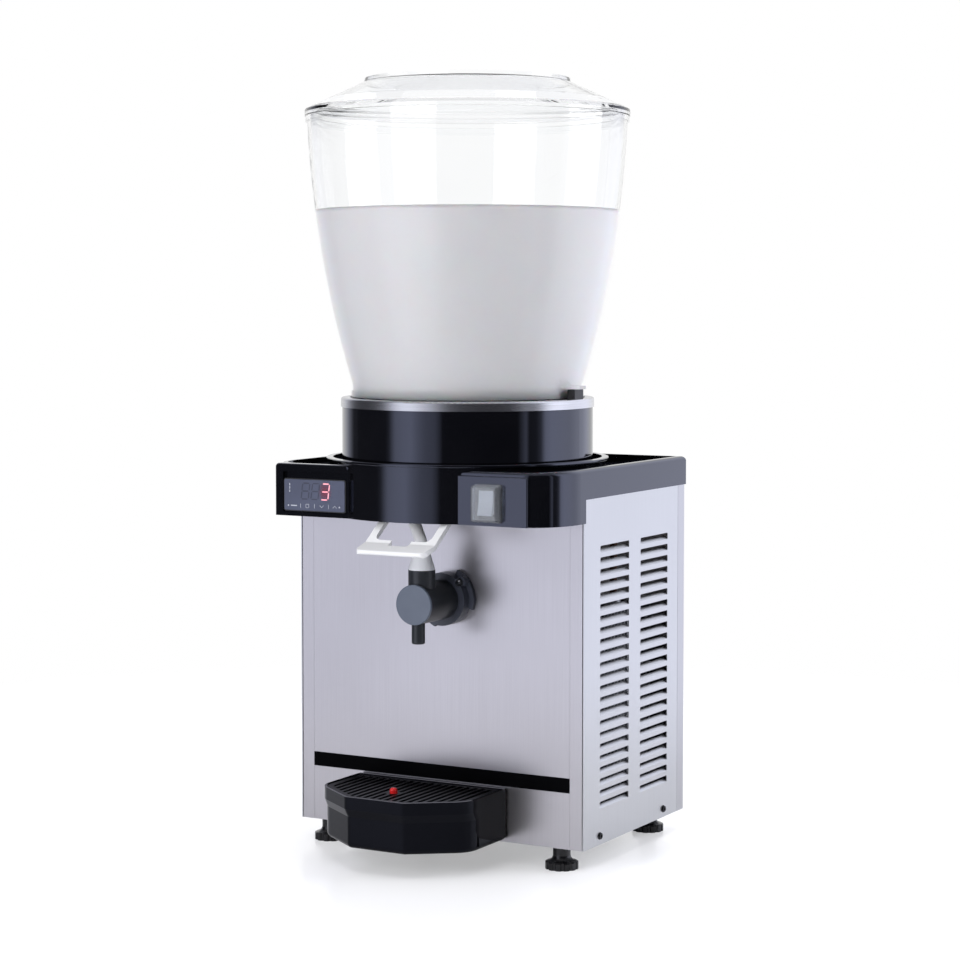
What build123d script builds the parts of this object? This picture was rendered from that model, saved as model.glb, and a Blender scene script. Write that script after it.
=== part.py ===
"""Countertop ayran dispenser: a clear bowl on a chilled base, a foaming tap and a drip tray.

The origin is on the floor under the bowl's axis, +Z is up and the front faces -Y.
"""

import os
from math import cos, radians, sin, sqrt

from build123d import *

os.makedirs("parts", exist_ok=True)

# Fits, in millimetres like every size here
seam = 0.4  # gap between neighbouring panels
post_seam = 0.15  # gap between the front panel and a corner post
corner_seam = 0.9  # gap between a corner post and the side panel
fit = 0.3  # gap between pieces that move or lift apart
snug = 0.15  # gap round a piece that is pushed in and stays
run_fit = 0.05  # radial gap of a turning shaft

# Cabinet
foot_height = 22.0  # floor to the underside of the cabinet
cabinet_width = 340.0  # over the side panels
front_depth = 62.0  # bowl axis to the face of the front panel
rear_depth = 178.0  # bowl axis to the back of the cabinet
panel_height = 356.5
sheet = 1.2
post_width = 16.0  # visible width of the front corner posts
post_depth = 22.0
rear_wrap = 16.0  # width of the rear panel's side flanges
pan_lip = 20.0
strip_low = 57.7  # black strip, above the cabinet's underside
strip_height = 15.1
strip_thick = 0.5
screw_shank = 1.8
screw_head = 4.0
screw_rise = 9.0  # above the cabinet's underside
screw_front = 36.4  # front face back to the first side screw
screw_back = 35.0  # rear fold forward to the second one
screw_side = 20.0  # outer side in to a rear screw
socket_radius = 1.9
socket_depth = 1.2

# Louvres on both side panels
louvre_rows = 23
louvre_pitch = 11.95
louvre_drop = 49.5  # top edge of a side panel down to the first slot
louvre_length = 67.0
louvre_front = 69.6  # front face back to the middle of the first column
louvre_spacing = 94.5
louvre_window = 7.0
louvre_press = 3.6  # how far a lower lip is pressed inwards
louvre_rise = 3.5  # how far that lip climbs
louvre_lip = 1.3
louvre_corner = 1.6

# Vents in the rear panel, off the middle
vent_rows = 11
vent_columns = 2
vent_spacing = 87.0
vent_shift = 43.5

# Feet
foot_inset = 30.0  # cabinet's side in to a foot
foot_front_inset = 10.0
foot_rear_inset = 26.0
foot_radius = 17.0
foot_base = 7.0
foot_flare = 7.5
foot_bell = 1.2  # hollow of the slope above the lobes
foot_neck = 9.0
lobe_radius = 2.2
foot_lobes = 12
stud_radius = 4.0
stud_length = 16.0
nut_height = 8.0

# Top cover
cover_width = 344.0
cover_front = 130.0  # bowl axis to the flat face of the apron
cover_corner = 37.0  # rounding of the front corners across the front
cover_sweep = 56.0  # and along the sides
cover_wall = 3.0
cover_height = 30.5  # side skirt and rim
apron_height = 54.5
rim_round = 5.0
rim_width = 8.0
floor_drop = 8.0  # rim down to the tray floor
floor_hole = 80.0
pad_width = 79.5  # raised flat that carries the switch
pad_in = 29.0  # cover's side in to the flat's end
pad_out = 3.0
pad_round = 1.2
bulge_radius = 146.0  # rounded front, round the bowl's axis
ring_rise = 5.0  # ring above the rim
ring_wall = 4.0
lip_out = 3.0
lip_height = 3.0

# Chilled base under the bowl
collar_radius = 132.4
collar_wall = 3.0
collar_height = 65.7
base_overhang = 1.1
base_height = 9.8
base_sink = 2.5
base_skin = 2.5
coil_tube = 4.0
coil_inner = 46.0
coil_pitch = 10.0
coil_turns = 4
gasket_height = 3.0
gasket_width = 9.0

# Bowl and lid
bowl_height = 292.6
bowl_waist = 121.2  # radius just above the foot
bowl_waist_rise = 13.0
bowl_foot_out = 1.4
bowl_foot_height = 6.0
bowl_mouth = 168.0
bowl_bow = 8.6  # how far the wall bows out from a straight slope
bowl_wall = 3.2
bowl_lip = 1.8
bowl_lip_height = 5.0
lug_width = 14.0
lug_reach = 16.0
lug_thick = 3.5
stop_width = 10.0
stop_length = 19.0
stop_height = 10.0
lid_out = 0.9  # lid beyond the bowl's lip
lid_lip = 7.0
lid_wall = 2.5
lid_skirt = 8.0
lid_shoulder_in = 21.7
lid_shoulder_rise = 17.6
lid_disc_radius = 107.6
lid_disc_rise = 36.2
lid_rim = 4.0
lid_bend = 40.0

# Stirrer
agitator_radius = 62.0
agitator_height = 24.0
stir_shaft = 4.0
seal_radius = 9.0
gear_radius = 36.0
gear_height = 44.0
gear_boss = 8.0

# Tap: outlet, tube and foaming head
outlet_x = -4.0
outlet_y = -104.0
outlet_radius = 8.0
outlet_bore = 5.5
outlet_drop = 25.0  # outlet below the cover's floor
nipple_radius = 4.4
nipple_length = 16.0
tube_radius = 6.2
tube_bore = 4.5
tap_x = 12.0  # the foaming head sits right of the middle
tap_drop = 84.2  # apron's lower edge down to the foaming head
head_radius = 20.6
head_reach = 70.5  # front panel to the face of the foaming head
head_wall = 3.0
cap_thick = 3.0
inlet_back = 17.2  # face of the foaming head back to its inlet
inlet_radius = 13.8
inlet_rise = 34.5
spout_back = 10.2
spout_radius = 6.85
spout_drop = 40.6
spout_bore = 4.8
mount_radius = 27.5
mount_depth = 15.0
ear_radius = 28.0
ear_size = 5.5
ear_angle = 42.0
wing_radius = 33.0
wing_thick = 5.0
wing_start = -18.0  # degrees
wing_sweep = 84.0  # degrees
funnel_height = 18.2
funnel_neck = 8.4
funnel_wall = 1.6
whip_shaft = 3.0
impeller_radius = 15.0
whip_motor_radius = 21.0
whip_motor_length = 58.0
whip_boss = 13.0

# Lever
lever_half = 40.5
lever_pivot_y = -90.0
lever_pivot_drop = 16.4  # pivot below the cover's floor
lever_length = 83.2  # pivot to the bend
lever_tilt = 36.0
lever_bend = 6.0
lip_length = 20.9
lip_tilt = 16.0
lever_thick = 5.0
lever_plate = 25.0  # seen from above, front edge to the rear of the plate
lever_arm = 8.0
lever_corner = 7.0
lever_notch = 23.0
lever_notch_depth = 9.5
hub_radius = 6.0
pin_radius = 2.5
cheek_thick = 4.0
cheek_depth = 26.0
spring_wire = 0.6
spring_turns = 4

# Drip tray
tray_x = -6.0
tray_half = 88.0
tray_side = 79.0  # front panel to where the sides would meet the slanting facets
tray_reach = 118.0  # front panel to the tray's front
tray_crease = 34.0  # half width of the middle facet of the front
tray_gap = 3.0
tray_height = 53.2
tray_rise = 2.8  # above the cabinet's underside
tray_band = 12.5
tray_slope = 8.5
tray_inset = 4.0
tray_wall = 2.5
tray_round = 30.0
crease_round = 7.0
tray_edge = 5.0
ledge_width = 3.0
ledge_thick = 3.0
grille_thick = 5.0
grille_drop = 0.8
grille_pitch = 8.4
grille_slot = 4.6
grille_bars = 19
grille_frame = 7.0
float_x = -3.5  # from the tray's middle
float_back = 44.0  # from the tray's front
float_radius = 4.0
float_stem = 2.2
float_disc = 8.0
float_rise = 4.5
shelf_half = 55.0
shelf_reach = 70.0
shelf_thick = 2.4

# Controls on the apron
thermo_in = 64.0  # cover's side in to the controller's middle
thermo_rise = 22.2  # centre above the apron's lower edge
thermo_width = 76.0
thermo_height = 34.0
thermo_depth = 50.0
thermo_skin = 0.6
recess_depth = 2.5
recess_above = 5.8
surround_side = 11.5  # controller to the surround's outer end
surround_inner = 4.0  # and to its inner end
surround_depth = 16.0
surround_round = 4.0
surround_edge = 2.5
switch_in = 73.0  # cover's side in to the switch's middle
switch_rise = 22.5
switch_width = 22.0
switch_height = 30.0
switch_depth = 22.0
rocker_width = 16.0
rocker_height = 25.0
rocker_angle = 8.0
rocker_pivot = 1.6
rocker_pivot_length = 2.0
frame_width = 27.0
frame_height = 34.5
frame_thick = 2.5
splash_width = 32.0
splash_height = 39.0
splash_depth = 11.0
splash_wall = 1.6
splash_taper = 12.0  # degrees

# Cooling unit inside the cabinet
compressor_gap = 37.8  # side panel to the compressor
compressor_back = 91.8
compressor_radius = 56.0
compressor_height = 140.0
compressor_plate = 3.0
stub_spread = 30.0
grommet_radius = 9.0
grommet_height = 13.0
condenser_gap = 20.8  # side panel to the condenser
condenser_back = 38.0
condenser_thick = 36.0
condenser_length = 150.0
condenser_height = 230.0
fin_count = 20
fin_thick = 1.0
pipe_radius = 4.0
stub_rise = 10.0
fan_rise = 127.0
fan_radius = 80.0
fan_gap = 3.0
fan_depth = 27.0
shroud_thick = 3.0
fan_motor_radius = 27.0
fan_motor_length = 38.0
drier_radius = 9.0
drier_length = 60.0
capillary_radius = 1.5
pipe_bend = 12.0
capillary_bend = 5.0
suction_front = 16.0
suction_rise = 20.0
capillary_rise = 36.0
capillary_out = 24.0
capillary_dip = 15.0
terminal_width = 70.0
terminal_depth = 40.0
terminal_height = 54.0
terminal_gap = 5.0
gland_in = 58.8  # side panel in to the inlet bush
gland_rise = 40.0
gland_radius = 8.0
gland_bore = 4.2
gland_length = 16.0

# Sizes that follow from the ones above
panel_inner = cabinet_width / 2 - sheet
panel_top = foot_height + panel_height
pan_front = -front_depth + sheet
pan_rear = rear_depth - sheet
pan_floor = foot_height + sheet
post_inner = cabinet_width / 2 - post_width
side_rear = rear_depth - rear_wrap
screw_z = foot_height + screw_rise
screw_x = cabinet_width / 2 - screw_side
screw_y = (screw_front - front_depth, side_rear - screw_back)
louvre_y = (louvre_front - front_depth, louvre_front + louvre_spacing - front_depth)
rim_top = panel_top + cover_height
apron_bottom = rim_top - apron_height
tap_z = apron_bottom - tap_drop
cover_floor = rim_top - floor_drop
cover_under = cover_floor - cover_wall
ring_top = rim_top + ring_rise
collar_inner = collar_radius - collar_wall
collar_top = cover_floor + collar_height
base_radius = collar_radius + base_overhang
base_rim = collar_top + base_height
base_floor = base_rim - base_sink
base_under = base_floor - base_skin
bowl_base = base_floor + gasket_height
bowl_foot = bowl_waist + bowl_foot_out
bowl_top = bowl_base + bowl_height
bowl_bore = bowl_waist - bowl_wall
base_seat = bowl_foot + 1.4
outlet_end = cover_under - outlet_drop
nipple_end = outlet_end - nipple_length
head_front = front_depth + head_reach
inlet_y = inlet_back - head_front
inlet_top = tap_z + inlet_rise
spout_y = spout_back - head_front
mount_front = front_depth + mount_depth
pivot_z = cover_under - lever_pivot_drop
spring_radius = pin_radius + snug + spring_wire
tray_bottom = foot_height + tray_rise
tray_top = tray_bottom + tray_height
tray_front = front_depth + tray_reach
tray_corner = front_depth + tray_side
ledge = tray_top - grille_drop - grille_thick
thermo_x = thermo_in - cover_width / 2
thermo_z = apron_bottom + thermo_rise
surround_left = thermo_x - thermo_width / 2 - surround_side
surround_right = thermo_x + thermo_width / 2 + surround_inner
pad_top = rim_top - rim_round
pad_face = cover_front + pad_out
pad_right = cover_width / 2 - pad_in
switch_x = cover_width / 2 - switch_in
switch_z = apron_bottom + switch_rise
coil_z = base_under - snug - coil_tube
gear_top = base_under - gear_boss
condenser_x = panel_inner - condenser_gap - condenser_thick / 2
condenser_y = pan_rear - condenser_back - condenser_length / 2
compressor_x = compressor_gap + compressor_radius - panel_inner
compressor_y = pan_rear - compressor_back
gland_x = gland_in - panel_inner
condenser_top = pan_floor + condenser_height
condenser_in = condenser_x - condenser_thick / 2
fan_z = pan_floor + fan_rise
compressor_top = pan_floor + grommet_height + compressor_plate + compressor_height

foot_x = cabinet_width / 2 - foot_inset
foot_y = foot_front_inset - front_depth
foot_rear_y = rear_depth - foot_rear_inset
feet = {
    "foot_front_left": (-foot_x, foot_y),
    "foot_front_right": (foot_x, foot_y),
    "foot_rear_left": (-foot_x, foot_rear_y),
    "foot_rear_right": (foot_x, foot_rear_y),
}


def front_plane(distance):
    """Upright plane facing the front, that far in front of the bowl's axis."""
    return Plane(origin=(0, -distance, 0), x_dir=(1, 0, 0), z_dir=(0, -1, 0))


def cover_plan(inset):
    """Plan of the top cover, drawn in by an inset, with its front corners as quarter ellipses."""
    half = cover_width / 2 - inset
    across = cover_corner - inset
    along = cover_sweep - inset
    centre_x = cover_width / 2 - cover_corner
    centre_y = cover_sweep - cover_front
    with BuildSketch() as plan:
        with BuildLine():
            right = EllipticalCenterArc((centre_x, centre_y), across, along, start_angle=270, arc_size=90)
            left = EllipticalCenterArc((-centre_x, centre_y), across, along, start_angle=180, arc_size=90)
            Polyline(right @ 1, (half, rear_depth - inset), (-half, rear_depth - inset), left @ 0)
            Line(left @ 1, right @ 0)
        make_face()
    return plan.sketch


def tray_plan(front_in, side_in):
    """Plan of the drip tray, drawn in at the front facets and at the sides and rear."""
    steep = (tray_front - tray_corner) / (tray_half - tray_crease)
    lean = sqrt(1 + steep * steep)
    side = tray_half - side_in
    crease = tray_crease - front_in * (lean - 1) / steep
    corner_y = -tray_corner + front_in * lean - side_in * steep
    rear_y = -front_depth - tray_gap - side_in
    with BuildSketch() as plan:
        with BuildLine():
            Polyline(
                (tray_x - side, rear_y),
                (tray_x - side, corner_y),
                (tray_x - crease, -tray_front + front_in),
                (tray_x + crease, -tray_front + front_in),
                (tray_x + side, corner_y),
                (tray_x + side, rear_y),
                close=True,
            )
        make_face()
        fillet(plan.vertices().sort_by(Axis.Y)[0:2], crease_round)
        for edge in (0, -1):
            corner = plan.vertices().group_by(Axis.X)[edge].sort_by(Axis.Y)[0]
            fillet(corner, max(tray_round - side_in, 1))
    return plan.sketch


# Base pan of the cabinet, with a turned-up edge
with BuildPart() as base_pan:
    with BuildSketch(Plane.XY.offset(foot_height)):
        with Locations((0, (pan_front + pan_rear) / 2)):
            Rectangle(2 * panel_inner, pan_rear - pan_front)
    extrude(amount=pan_lip)
    with BuildSketch(Plane.XY.offset(pan_floor)):
        with Locations((0, (pan_front + pan_rear) / 2)):
            Rectangle(2 * (panel_inner - sheet), pan_rear - pan_front - 2 * sheet)
        for side in (-1, 1):
            with Locations((side * (panel_inner - 1.5 * sheet), pan_front)):
                Rectangle(sheet, 4 * sheet)
    extrude(amount=pan_lip, mode=Mode.SUBTRACT)
    with BuildSketch(Plane.XY.offset(foot_height)):
        with Locations(*feet.values()):
            Circle(stud_radius + fit)
    extrude(amount=sheet, mode=Mode.SUBTRACT)
    with BuildSketch(Plane.YZ.offset(-cabinet_width / 2)):
        with Locations(*[(y, screw_z) for y in screw_y]):
            Circle(screw_shank + snug)
    extrude(amount=cabinet_width, mode=Mode.SUBTRACT)
    with BuildSketch(Plane.XZ.offset(-pan_rear)):
        with Locations((-screw_x, screw_z), (screw_x, screw_z)):
            Circle(screw_shank + snug)
    extrude(amount=sheet, mode=Mode.SUBTRACT)
base_pan.part.label = "base_pan"
export_step(base_pan.part, "parts/base_pan.step")

# Corner posts, whose front legs show as plain strips
for side, name in ((-1, "front_post_left"), (1, "front_post_right")):
    with BuildPart() as post:
        with BuildSketch(Plane.XY.offset(foot_height)):
            with Locations((side * (post_inner + panel_inner - corner_seam) / 2, -front_depth + sheet / 2)):
                Rectangle(panel_inner - corner_seam - post_inner, sheet)
        extrude(amount=cover_under - foot_height)
        with BuildSketch(Plane.XY.offset(pan_floor)):
            with Locations((side * (panel_inner - 1.5 * sheet), pan_front + post_depth / 2)):
                Rectangle(sheet, post_depth)
        extrude(amount=cover_under - pan_floor)
    post.part.label = name
    export_step(post.part, "parts/" + name + ".step")

# Front panel between the posts
with BuildPart() as front_panel:
    with BuildSketch(front_plane(front_depth - sheet)):
        with Locations((0, (foot_height + cover_under) / 2)):
            Rectangle(2 * (post_inner - post_seam), cover_under - foot_height)
        with Locations((tap_x, tap_z)):
            Circle(whip_boss + snug, mode=Mode.SUBTRACT)
    extrude(amount=sheet)
front_panel.part.label = "front_panel"
export_step(front_panel.part, "parts/front_panel.step")

# Plain black strip across the front panel
with BuildPart() as front_strip:
    with BuildSketch(front_plane(front_depth)):
        with Locations((0, foot_height + strip_low + strip_height / 2)):
            Rectangle(2 * (post_inner - post_seam), strip_height)
    extrude(amount=strip_thick)
front_strip.part.label = "front_strip"
export_step(front_strip.part, "parts/front_strip.step")

# Side panels, with slots whose lower lips are pressed inwards
for side, name in ((-1, "left_side_panel"), (1, "right_side_panel")):
    outer = side * cabinet_width / 2
    slots = [panel_top - louvre_drop - row * louvre_pitch for row in range(louvre_rows)]
    with BuildPart() as side_panel:
        with BuildSketch(Plane.YZ.offset(side * panel_inner)):
            with Locations(((side_rear - seam - front_depth) / 2, (foot_height + panel_top) / 2)):
                Rectangle(side_rear - seam + front_depth, panel_height)
            with Locations(*[(y, screw_z) for y in screw_y]):
                Circle(screw_shank + snug, mode=Mode.SUBTRACT)
            with Locations(*[(y, z - louvre_window / 2) for y in louvre_y for z in slots]):
                RectangleRounded(louvre_length, louvre_window, louvre_corner, mode=Mode.SUBTRACT)
        extrude(amount=side * sheet)
        for column in louvre_y:
            with BuildSketch(Plane.XZ.offset(-column - louvre_length / 2)):
                for z in slots:
                    low = z - louvre_window
                    with BuildLine():
                        Polyline(
                            (outer, low),
                            (outer - side * louvre_press, low + louvre_rise),
                            (outer - side * louvre_press, low + louvre_rise - louvre_lip),
                            (outer - side * sheet * 0.6, low - louvre_lip),
                            (outer, low - louvre_lip),
                            close=True,
                        )
                    make_face()
            extrude(amount=louvre_length)
    side_panel.part.label = name
    export_step(side_panel.part, "parts/" + name + ".step")

# Rear panel, folded round both rear corners
with BuildPart() as rear_panel:
    with BuildSketch(Plane.XY.offset(foot_height)):
        with Locations((0, (side_rear + rear_depth) / 2)):
            Rectangle(cabinet_width, rear_wrap)
        with Locations((0, (side_rear + rear_depth) / 2 - sheet)):
            Rectangle(2 * panel_inner, rear_wrap, mode=Mode.SUBTRACT)
    extrude(amount=panel_height)
    with BuildSketch(Plane.XZ.offset(-rear_depth)):
        with Locations((-vent_shift, panel_top - louvre_drop - (vent_rows - 1) / 2 * louvre_pitch)):
            with GridLocations(vent_spacing, louvre_pitch, vent_columns, vent_rows):
                SlotOverall(louvre_length, louvre_window / 2)
        with Locations((gland_x, pan_floor + gland_rise)):
            Circle(gland_radius + snug)
        with Locations((-screw_x, screw_z), (screw_x, screw_z)):
            Circle(screw_shank + snug)
    extrude(amount=sheet, mode=Mode.SUBTRACT)
rear_panel.part.label = "rear_panel"
export_step(rear_panel.part, "parts/rear_panel.step")

# Screws along the lower edges of the side and rear panels, with hexagon sockets
with BuildPart() as panel_screws:
    for side in (-1, 1):
        with BuildSketch(Plane.YZ.offset(side * (panel_inner - 2 * sheet))):
            with Locations(*[(y, screw_z) for y in screw_y]):
                Circle(screw_shank)
        extrude(amount=side * 3 * sheet)
        with BuildSketch(Plane.YZ.offset(side * cabinet_width / 2)):
            with Locations(*[(y, screw_z) for y in screw_y]):
                Circle(screw_head)
        extrude(amount=side * screw_head / 2, taper=25)
        with BuildSketch(Plane.YZ.offset(side * (cabinet_width / 2 + screw_head / 2))):
            with Locations(*[(y, screw_z) for y in screw_y]):
                RegularPolygon(socket_radius, 6)
        extrude(amount=-side * socket_depth, mode=Mode.SUBTRACT)
    with BuildSketch(Plane.XZ.offset(-rear_depth)):
        with Locations((-screw_x, screw_z), (screw_x, screw_z)):
            Circle(screw_shank)
    extrude(amount=3 * sheet)
    with BuildSketch(Plane.XZ.offset(-rear_depth)):
        with Locations((-screw_x, screw_z), (screw_x, screw_z)):
            Circle(screw_head)
    extrude(amount=-screw_head / 2, taper=25)
    with BuildSketch(Plane.XZ.offset(-rear_depth - screw_head / 2)):
        with Locations((-screw_x, screw_z), (screw_x, screw_z)):
            RegularPolygon(socket_radius, 6)
    extrude(amount=socket_depth, mode=Mode.SUBTRACT)
panel_screws.part.label = "panel_screws"
export_step(panel_screws.part, "parts/panel_screws.step")

# Screw feet with a lobed knob, and the nuts that hold them in the pan
shoulder = foot_radius - lobe_radius
bell_middle = foot_base + (lobe_radius / 2 + foot_flare) / 2
for name, (x, y) in feet.items():
    with BuildPart() as foot:
        with BuildSketch(Plane.XZ):
            with BuildLine():
                Polyline(
                    (foot_neck, foot_base + foot_flare),
                    (foot_neck, foot_height - fit),
                    (stud_radius, foot_height - fit),
                    (stud_radius, foot_height - fit + stud_length),
                    (0, foot_height - fit + stud_length),
                    (0, 0),
                    (foot_radius, 0),
                    (foot_radius, foot_base),
                    (shoulder, foot_base + lobe_radius / 2),
                )
                ThreePointArc(
                    (shoulder, foot_base + lobe_radius / 2),
                    ((shoulder + foot_neck) / 2 - foot_bell, bell_middle - foot_bell),
                    (foot_neck, foot_base + foot_flare),
                )
            make_face()
        revolve(axis=Axis.Z)
        with BuildSketch():
            with PolarLocations(foot_radius + lobe_radius / 3, foot_lobes):
                Circle(lobe_radius)
        extrude(amount=foot_height - fit, mode=Mode.SUBTRACT)
    foot.part = Pos(x, y, 0) * foot.part
    foot.part.label = name
    export_step(foot.part, "parts/" + name + ".step")

with BuildPart() as foot_nuts:
    with BuildSketch(Plane.XY.offset(pan_floor)):
        with Locations(*feet.values()):
            RegularPolygon(2 * stud_radius, 6)
            Circle(stud_radius + run_fit, mode=Mode.SUBTRACT)
    extrude(amount=nut_height)
foot_nuts.part.label = "foot_nuts"
export_step(foot_nuts.part, "parts/foot_nuts.step")

# Squared front for the controller, rounded along its edges, which becomes part of the top cover
with BuildPart() as surround:
    with BuildSketch(front_plane(cover_front)) as surround_face:
        with Locations((surround_left, apron_bottom)):
            Rectangle(
                surround_right - surround_left,
                rim_top - apron_bottom,
                align=(Align.MIN, Align.MIN),
            )
        fillet(surround_face.vertices().group_by(Axis.Y)[-1], surround_round)
    extrude(amount=-surround_depth)
    surround_front = surround.faces().sort_by(Axis.Y)[0]
    fillet(surround_front.edges().sort_by(Axis.Z)[1:], surround_edge)

# Moulded top cover: skirt, front apron with a rounded middle, tray floor and ring
outer_plan = cover_plan(0)
wall_plan = cover_plan(cover_wall)
recess_plan = cover_plan(rim_width)
behind = (Align.CENTER, Align.MIN)
with BuildPart() as top_cover:
    with BuildSketch(Plane.XY.offset(panel_top)):
        add(outer_plan)
    extrude(amount=cover_height)
    with BuildSketch(Plane.XY.offset(apron_bottom)):
        add(outer_plan)
        with Locations((0, -front_depth)):
            Rectangle(2 * cover_width, 3 * rear_depth, align=behind, mode=Mode.SUBTRACT)
    extrude(amount=apron_height)
    fillet(top_cover.faces().sort_by(Axis.Z)[-1].edges(), rim_round)
    add(surround.part)
    with BuildSketch(Plane.XY.offset(cover_floor)):
        add(recess_plan)
    extrude(amount=floor_drop, mode=Mode.SUBTRACT)
    with BuildSketch(Plane.XY.offset(apron_bottom)):
        Circle(bulge_radius)
        with Locations((0, -front_depth)):
            Rectangle(2 * cover_width, 3 * rear_depth, align=behind, mode=Mode.SUBTRACT)
    extrude(amount=cover_floor - apron_bottom)
    with BuildSketch(Plane.XY.offset(cover_under)):
        Circle(bulge_radius)
    extrude(amount=ring_top - cover_under)
    with BuildSketch(Plane.XY.offset(ring_top - lip_height)):
        Circle(bulge_radius + lip_out)
    extrude(amount=lip_height)
    brim = top_cover.edges().filter_by(GeomType.CIRCLE)
    fillet(brim.filter_by(lambda e: e.radius > bulge_radius + lip_out / 2), lip_height / 3)
    with BuildSketch(Plane.XY.offset(cover_floor)):
        Circle(bulge_radius - ring_wall)
    extrude(amount=ring_top - cover_floor, mode=Mode.SUBTRACT)
    with BuildSketch(Plane.XY.offset(apron_bottom)):
        add(wall_plan)
        Circle(bulge_radius - cover_wall)
    extrude(amount=cover_under - apron_bottom, mode=Mode.SUBTRACT)
    with BuildSketch(Plane.XY.offset(cover_under)):
        Circle(floor_hole)
        with Locations((outlet_x, outlet_y)):
            Circle(outlet_radius + fit)
    extrude(amount=cover_wall, mode=Mode.SUBTRACT)
    with BuildSketch(front_plane(cover_front - cover_wall / 2)):
        with Locations((thermo_x, (apron_bottom + cover_under) / 2)):
            Rectangle(thermo_width + 10, cover_under - apron_bottom)
    extrude(amount=-(recess_depth + cover_wall / 2))
    with BuildSketch(front_plane(cover_front)):
        with Locations((thermo_x, thermo_z + recess_above / 2)):
            Rectangle(thermo_width + 2, thermo_height + recess_above + 2)
    extrude(amount=-recess_depth, mode=Mode.SUBTRACT)
    with BuildSketch(front_plane(cover_front)):
        with Locations((thermo_x, thermo_z)):
            Rectangle(thermo_width - 6 + 2 * snug, thermo_height - 6 + 2 * snug)
        with Locations((switch_x, switch_z)):
            Rectangle(switch_width + 2 * snug, switch_height + 2 * snug)
    extrude(amount=-(recess_depth + cover_wall), mode=Mode.SUBTRACT)
    with BuildSketch(front_plane(cover_front - cover_wall)):
        with Locations((pad_right - pad_width / 2, (apron_bottom + pad_top) / 2)):
            Rectangle(pad_width, pad_top - apron_bottom)
        with Locations((switch_x, switch_z)):
            Rectangle(switch_width + 2 * snug, switch_height + 2 * snug, mode=Mode.SUBTRACT)
    extrude(amount=cover_wall + pad_out)
    pad_edges = top_cover.faces().filter_by(Axis.Y).sort_by(Axis.Y)[0].outer_wire().edges()
    fillet(pad_edges.sort_by(Axis.Z)[1:], pad_round)
top_cover.part.label = "top_cover"
export_step(top_cover.part, "parts/top_cover.step")

# Temperature controller, with a smooth face that carries the touch keys
with BuildPart() as thermostat_body:
    with BuildSketch(front_plane(cover_front - recess_depth)):
        with Locations((thermo_x, thermo_z)):
            RectangleRounded(thermo_width, thermo_height, 2.5)
    extrude(amount=recess_depth)
    with BuildSketch(front_plane(cover_front - recess_depth)):
        with Locations((thermo_x, thermo_z)):
            Rectangle(thermo_width - 6, thermo_height - 6)
    extrude(amount=-thermo_depth)
thermostat_body.part.label = "thermostat_body"
export_step(thermostat_body.part, "parts/thermostat_body.step")

with BuildPart() as thermostat_face:
    with BuildSketch(front_plane(cover_front)):
        with Locations((thermo_x, thermo_z)):
            RectangleRounded(thermo_width - 2, thermo_height - 2, 2)
    extrude(amount=thermo_skin)
thermostat_face.part.label = "thermostat_face"
export_step(thermostat_face.part, "parts/thermostat_face.step")

# Mains switch: frame with its box, rocker on side pivots and clear splash cover
pivot_out = rocker_width / 2 + rocker_pivot_length
with BuildPart() as switch_body:
    with BuildSketch(front_plane(pad_face)):
        with Locations((switch_x, switch_z)):
            RectangleRounded(frame_width, frame_height, 2)
    extrude(amount=frame_thick)
    with BuildSketch(front_plane(pad_face)):
        with Locations((switch_x, switch_z)):
            Rectangle(switch_width, switch_height)
    extrude(amount=-switch_depth)
    with BuildSketch(front_plane(pad_face + frame_thick)):
        with Locations((switch_x, switch_z)):
            Rectangle(rocker_width + 2 * fit, rocker_height + 2.4)
    extrude(amount=-14, mode=Mode.SUBTRACT)
    with BuildSketch(Plane.YZ.offset(switch_x - pivot_out - fit)):
        with Locations((-pad_face, switch_z)):
            Circle(rocker_pivot + run_fit)
    extrude(amount=2 * (pivot_out + fit), mode=Mode.SUBTRACT)
switch_body.part.label = "switch_body"
export_step(switch_body.part, "parts/switch_body.step")

rocker_plane = Plane(
    origin=(switch_x - rocker_width / 2, -pad_face, switch_z),
    x_dir=(0, cos(radians(rocker_angle)), -sin(radians(rocker_angle))),
    z_dir=(1, 0, 0),
)
with BuildPart() as switch_rocker:
    with BuildSketch(rocker_plane):
        with BuildLine():
            Polyline(
                (-6, rocker_height / 2),
                (-4.6, 0),
                (-6, -rocker_height / 2),
                (4, -rocker_height / 3),
                (4, rocker_height / 3),
                close=True,
            )
        make_face()
    extrude(amount=rocker_width)
    with BuildSketch(Plane.YZ.offset(switch_x - pivot_out)):
        with Locations((-pad_face, switch_z)):
            Circle(rocker_pivot)
    extrude(amount=2 * pivot_out)
switch_rocker.part.label = "switch_rocker"
export_step(switch_rocker.part, "parts/switch_rocker.step")

with BuildPart() as switch_cover:
    with BuildSketch(front_plane(pad_face)):
        with Locations((switch_x, switch_z)):
            RectangleRounded(splash_width, splash_height, 3)
    extrude(amount=splash_depth, taper=splash_taper)
    fillet(switch_cover.faces().sort_by(Axis.Y)[0].edges(), splash_wall / 2)
    with BuildSketch(front_plane(pad_face)):
        with Locations((switch_x, switch_z)):
            RectangleRounded(splash_width - 2 * splash_wall, splash_height - 2 * splash_wall, 1.5)
    extrude(amount=splash_depth - splash_wall, taper=splash_taper, mode=Mode.SUBTRACT)
switch_cover.part.label = "switch_cover"
export_step(switch_cover.part, "parts/switch_cover.step")

# Black collar, standing on the cover's floor
with BuildPart() as bowl_collar:
    with BuildSketch(Plane.XY.offset(cover_floor)):
        Circle(collar_radius)
        Circle(collar_inner, mode=Mode.SUBTRACT)
    extrude(amount=collar_height)
bowl_collar.part.label = "bowl_collar"
export_step(bowl_collar.part, "parts/bowl_collar.step")

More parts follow.
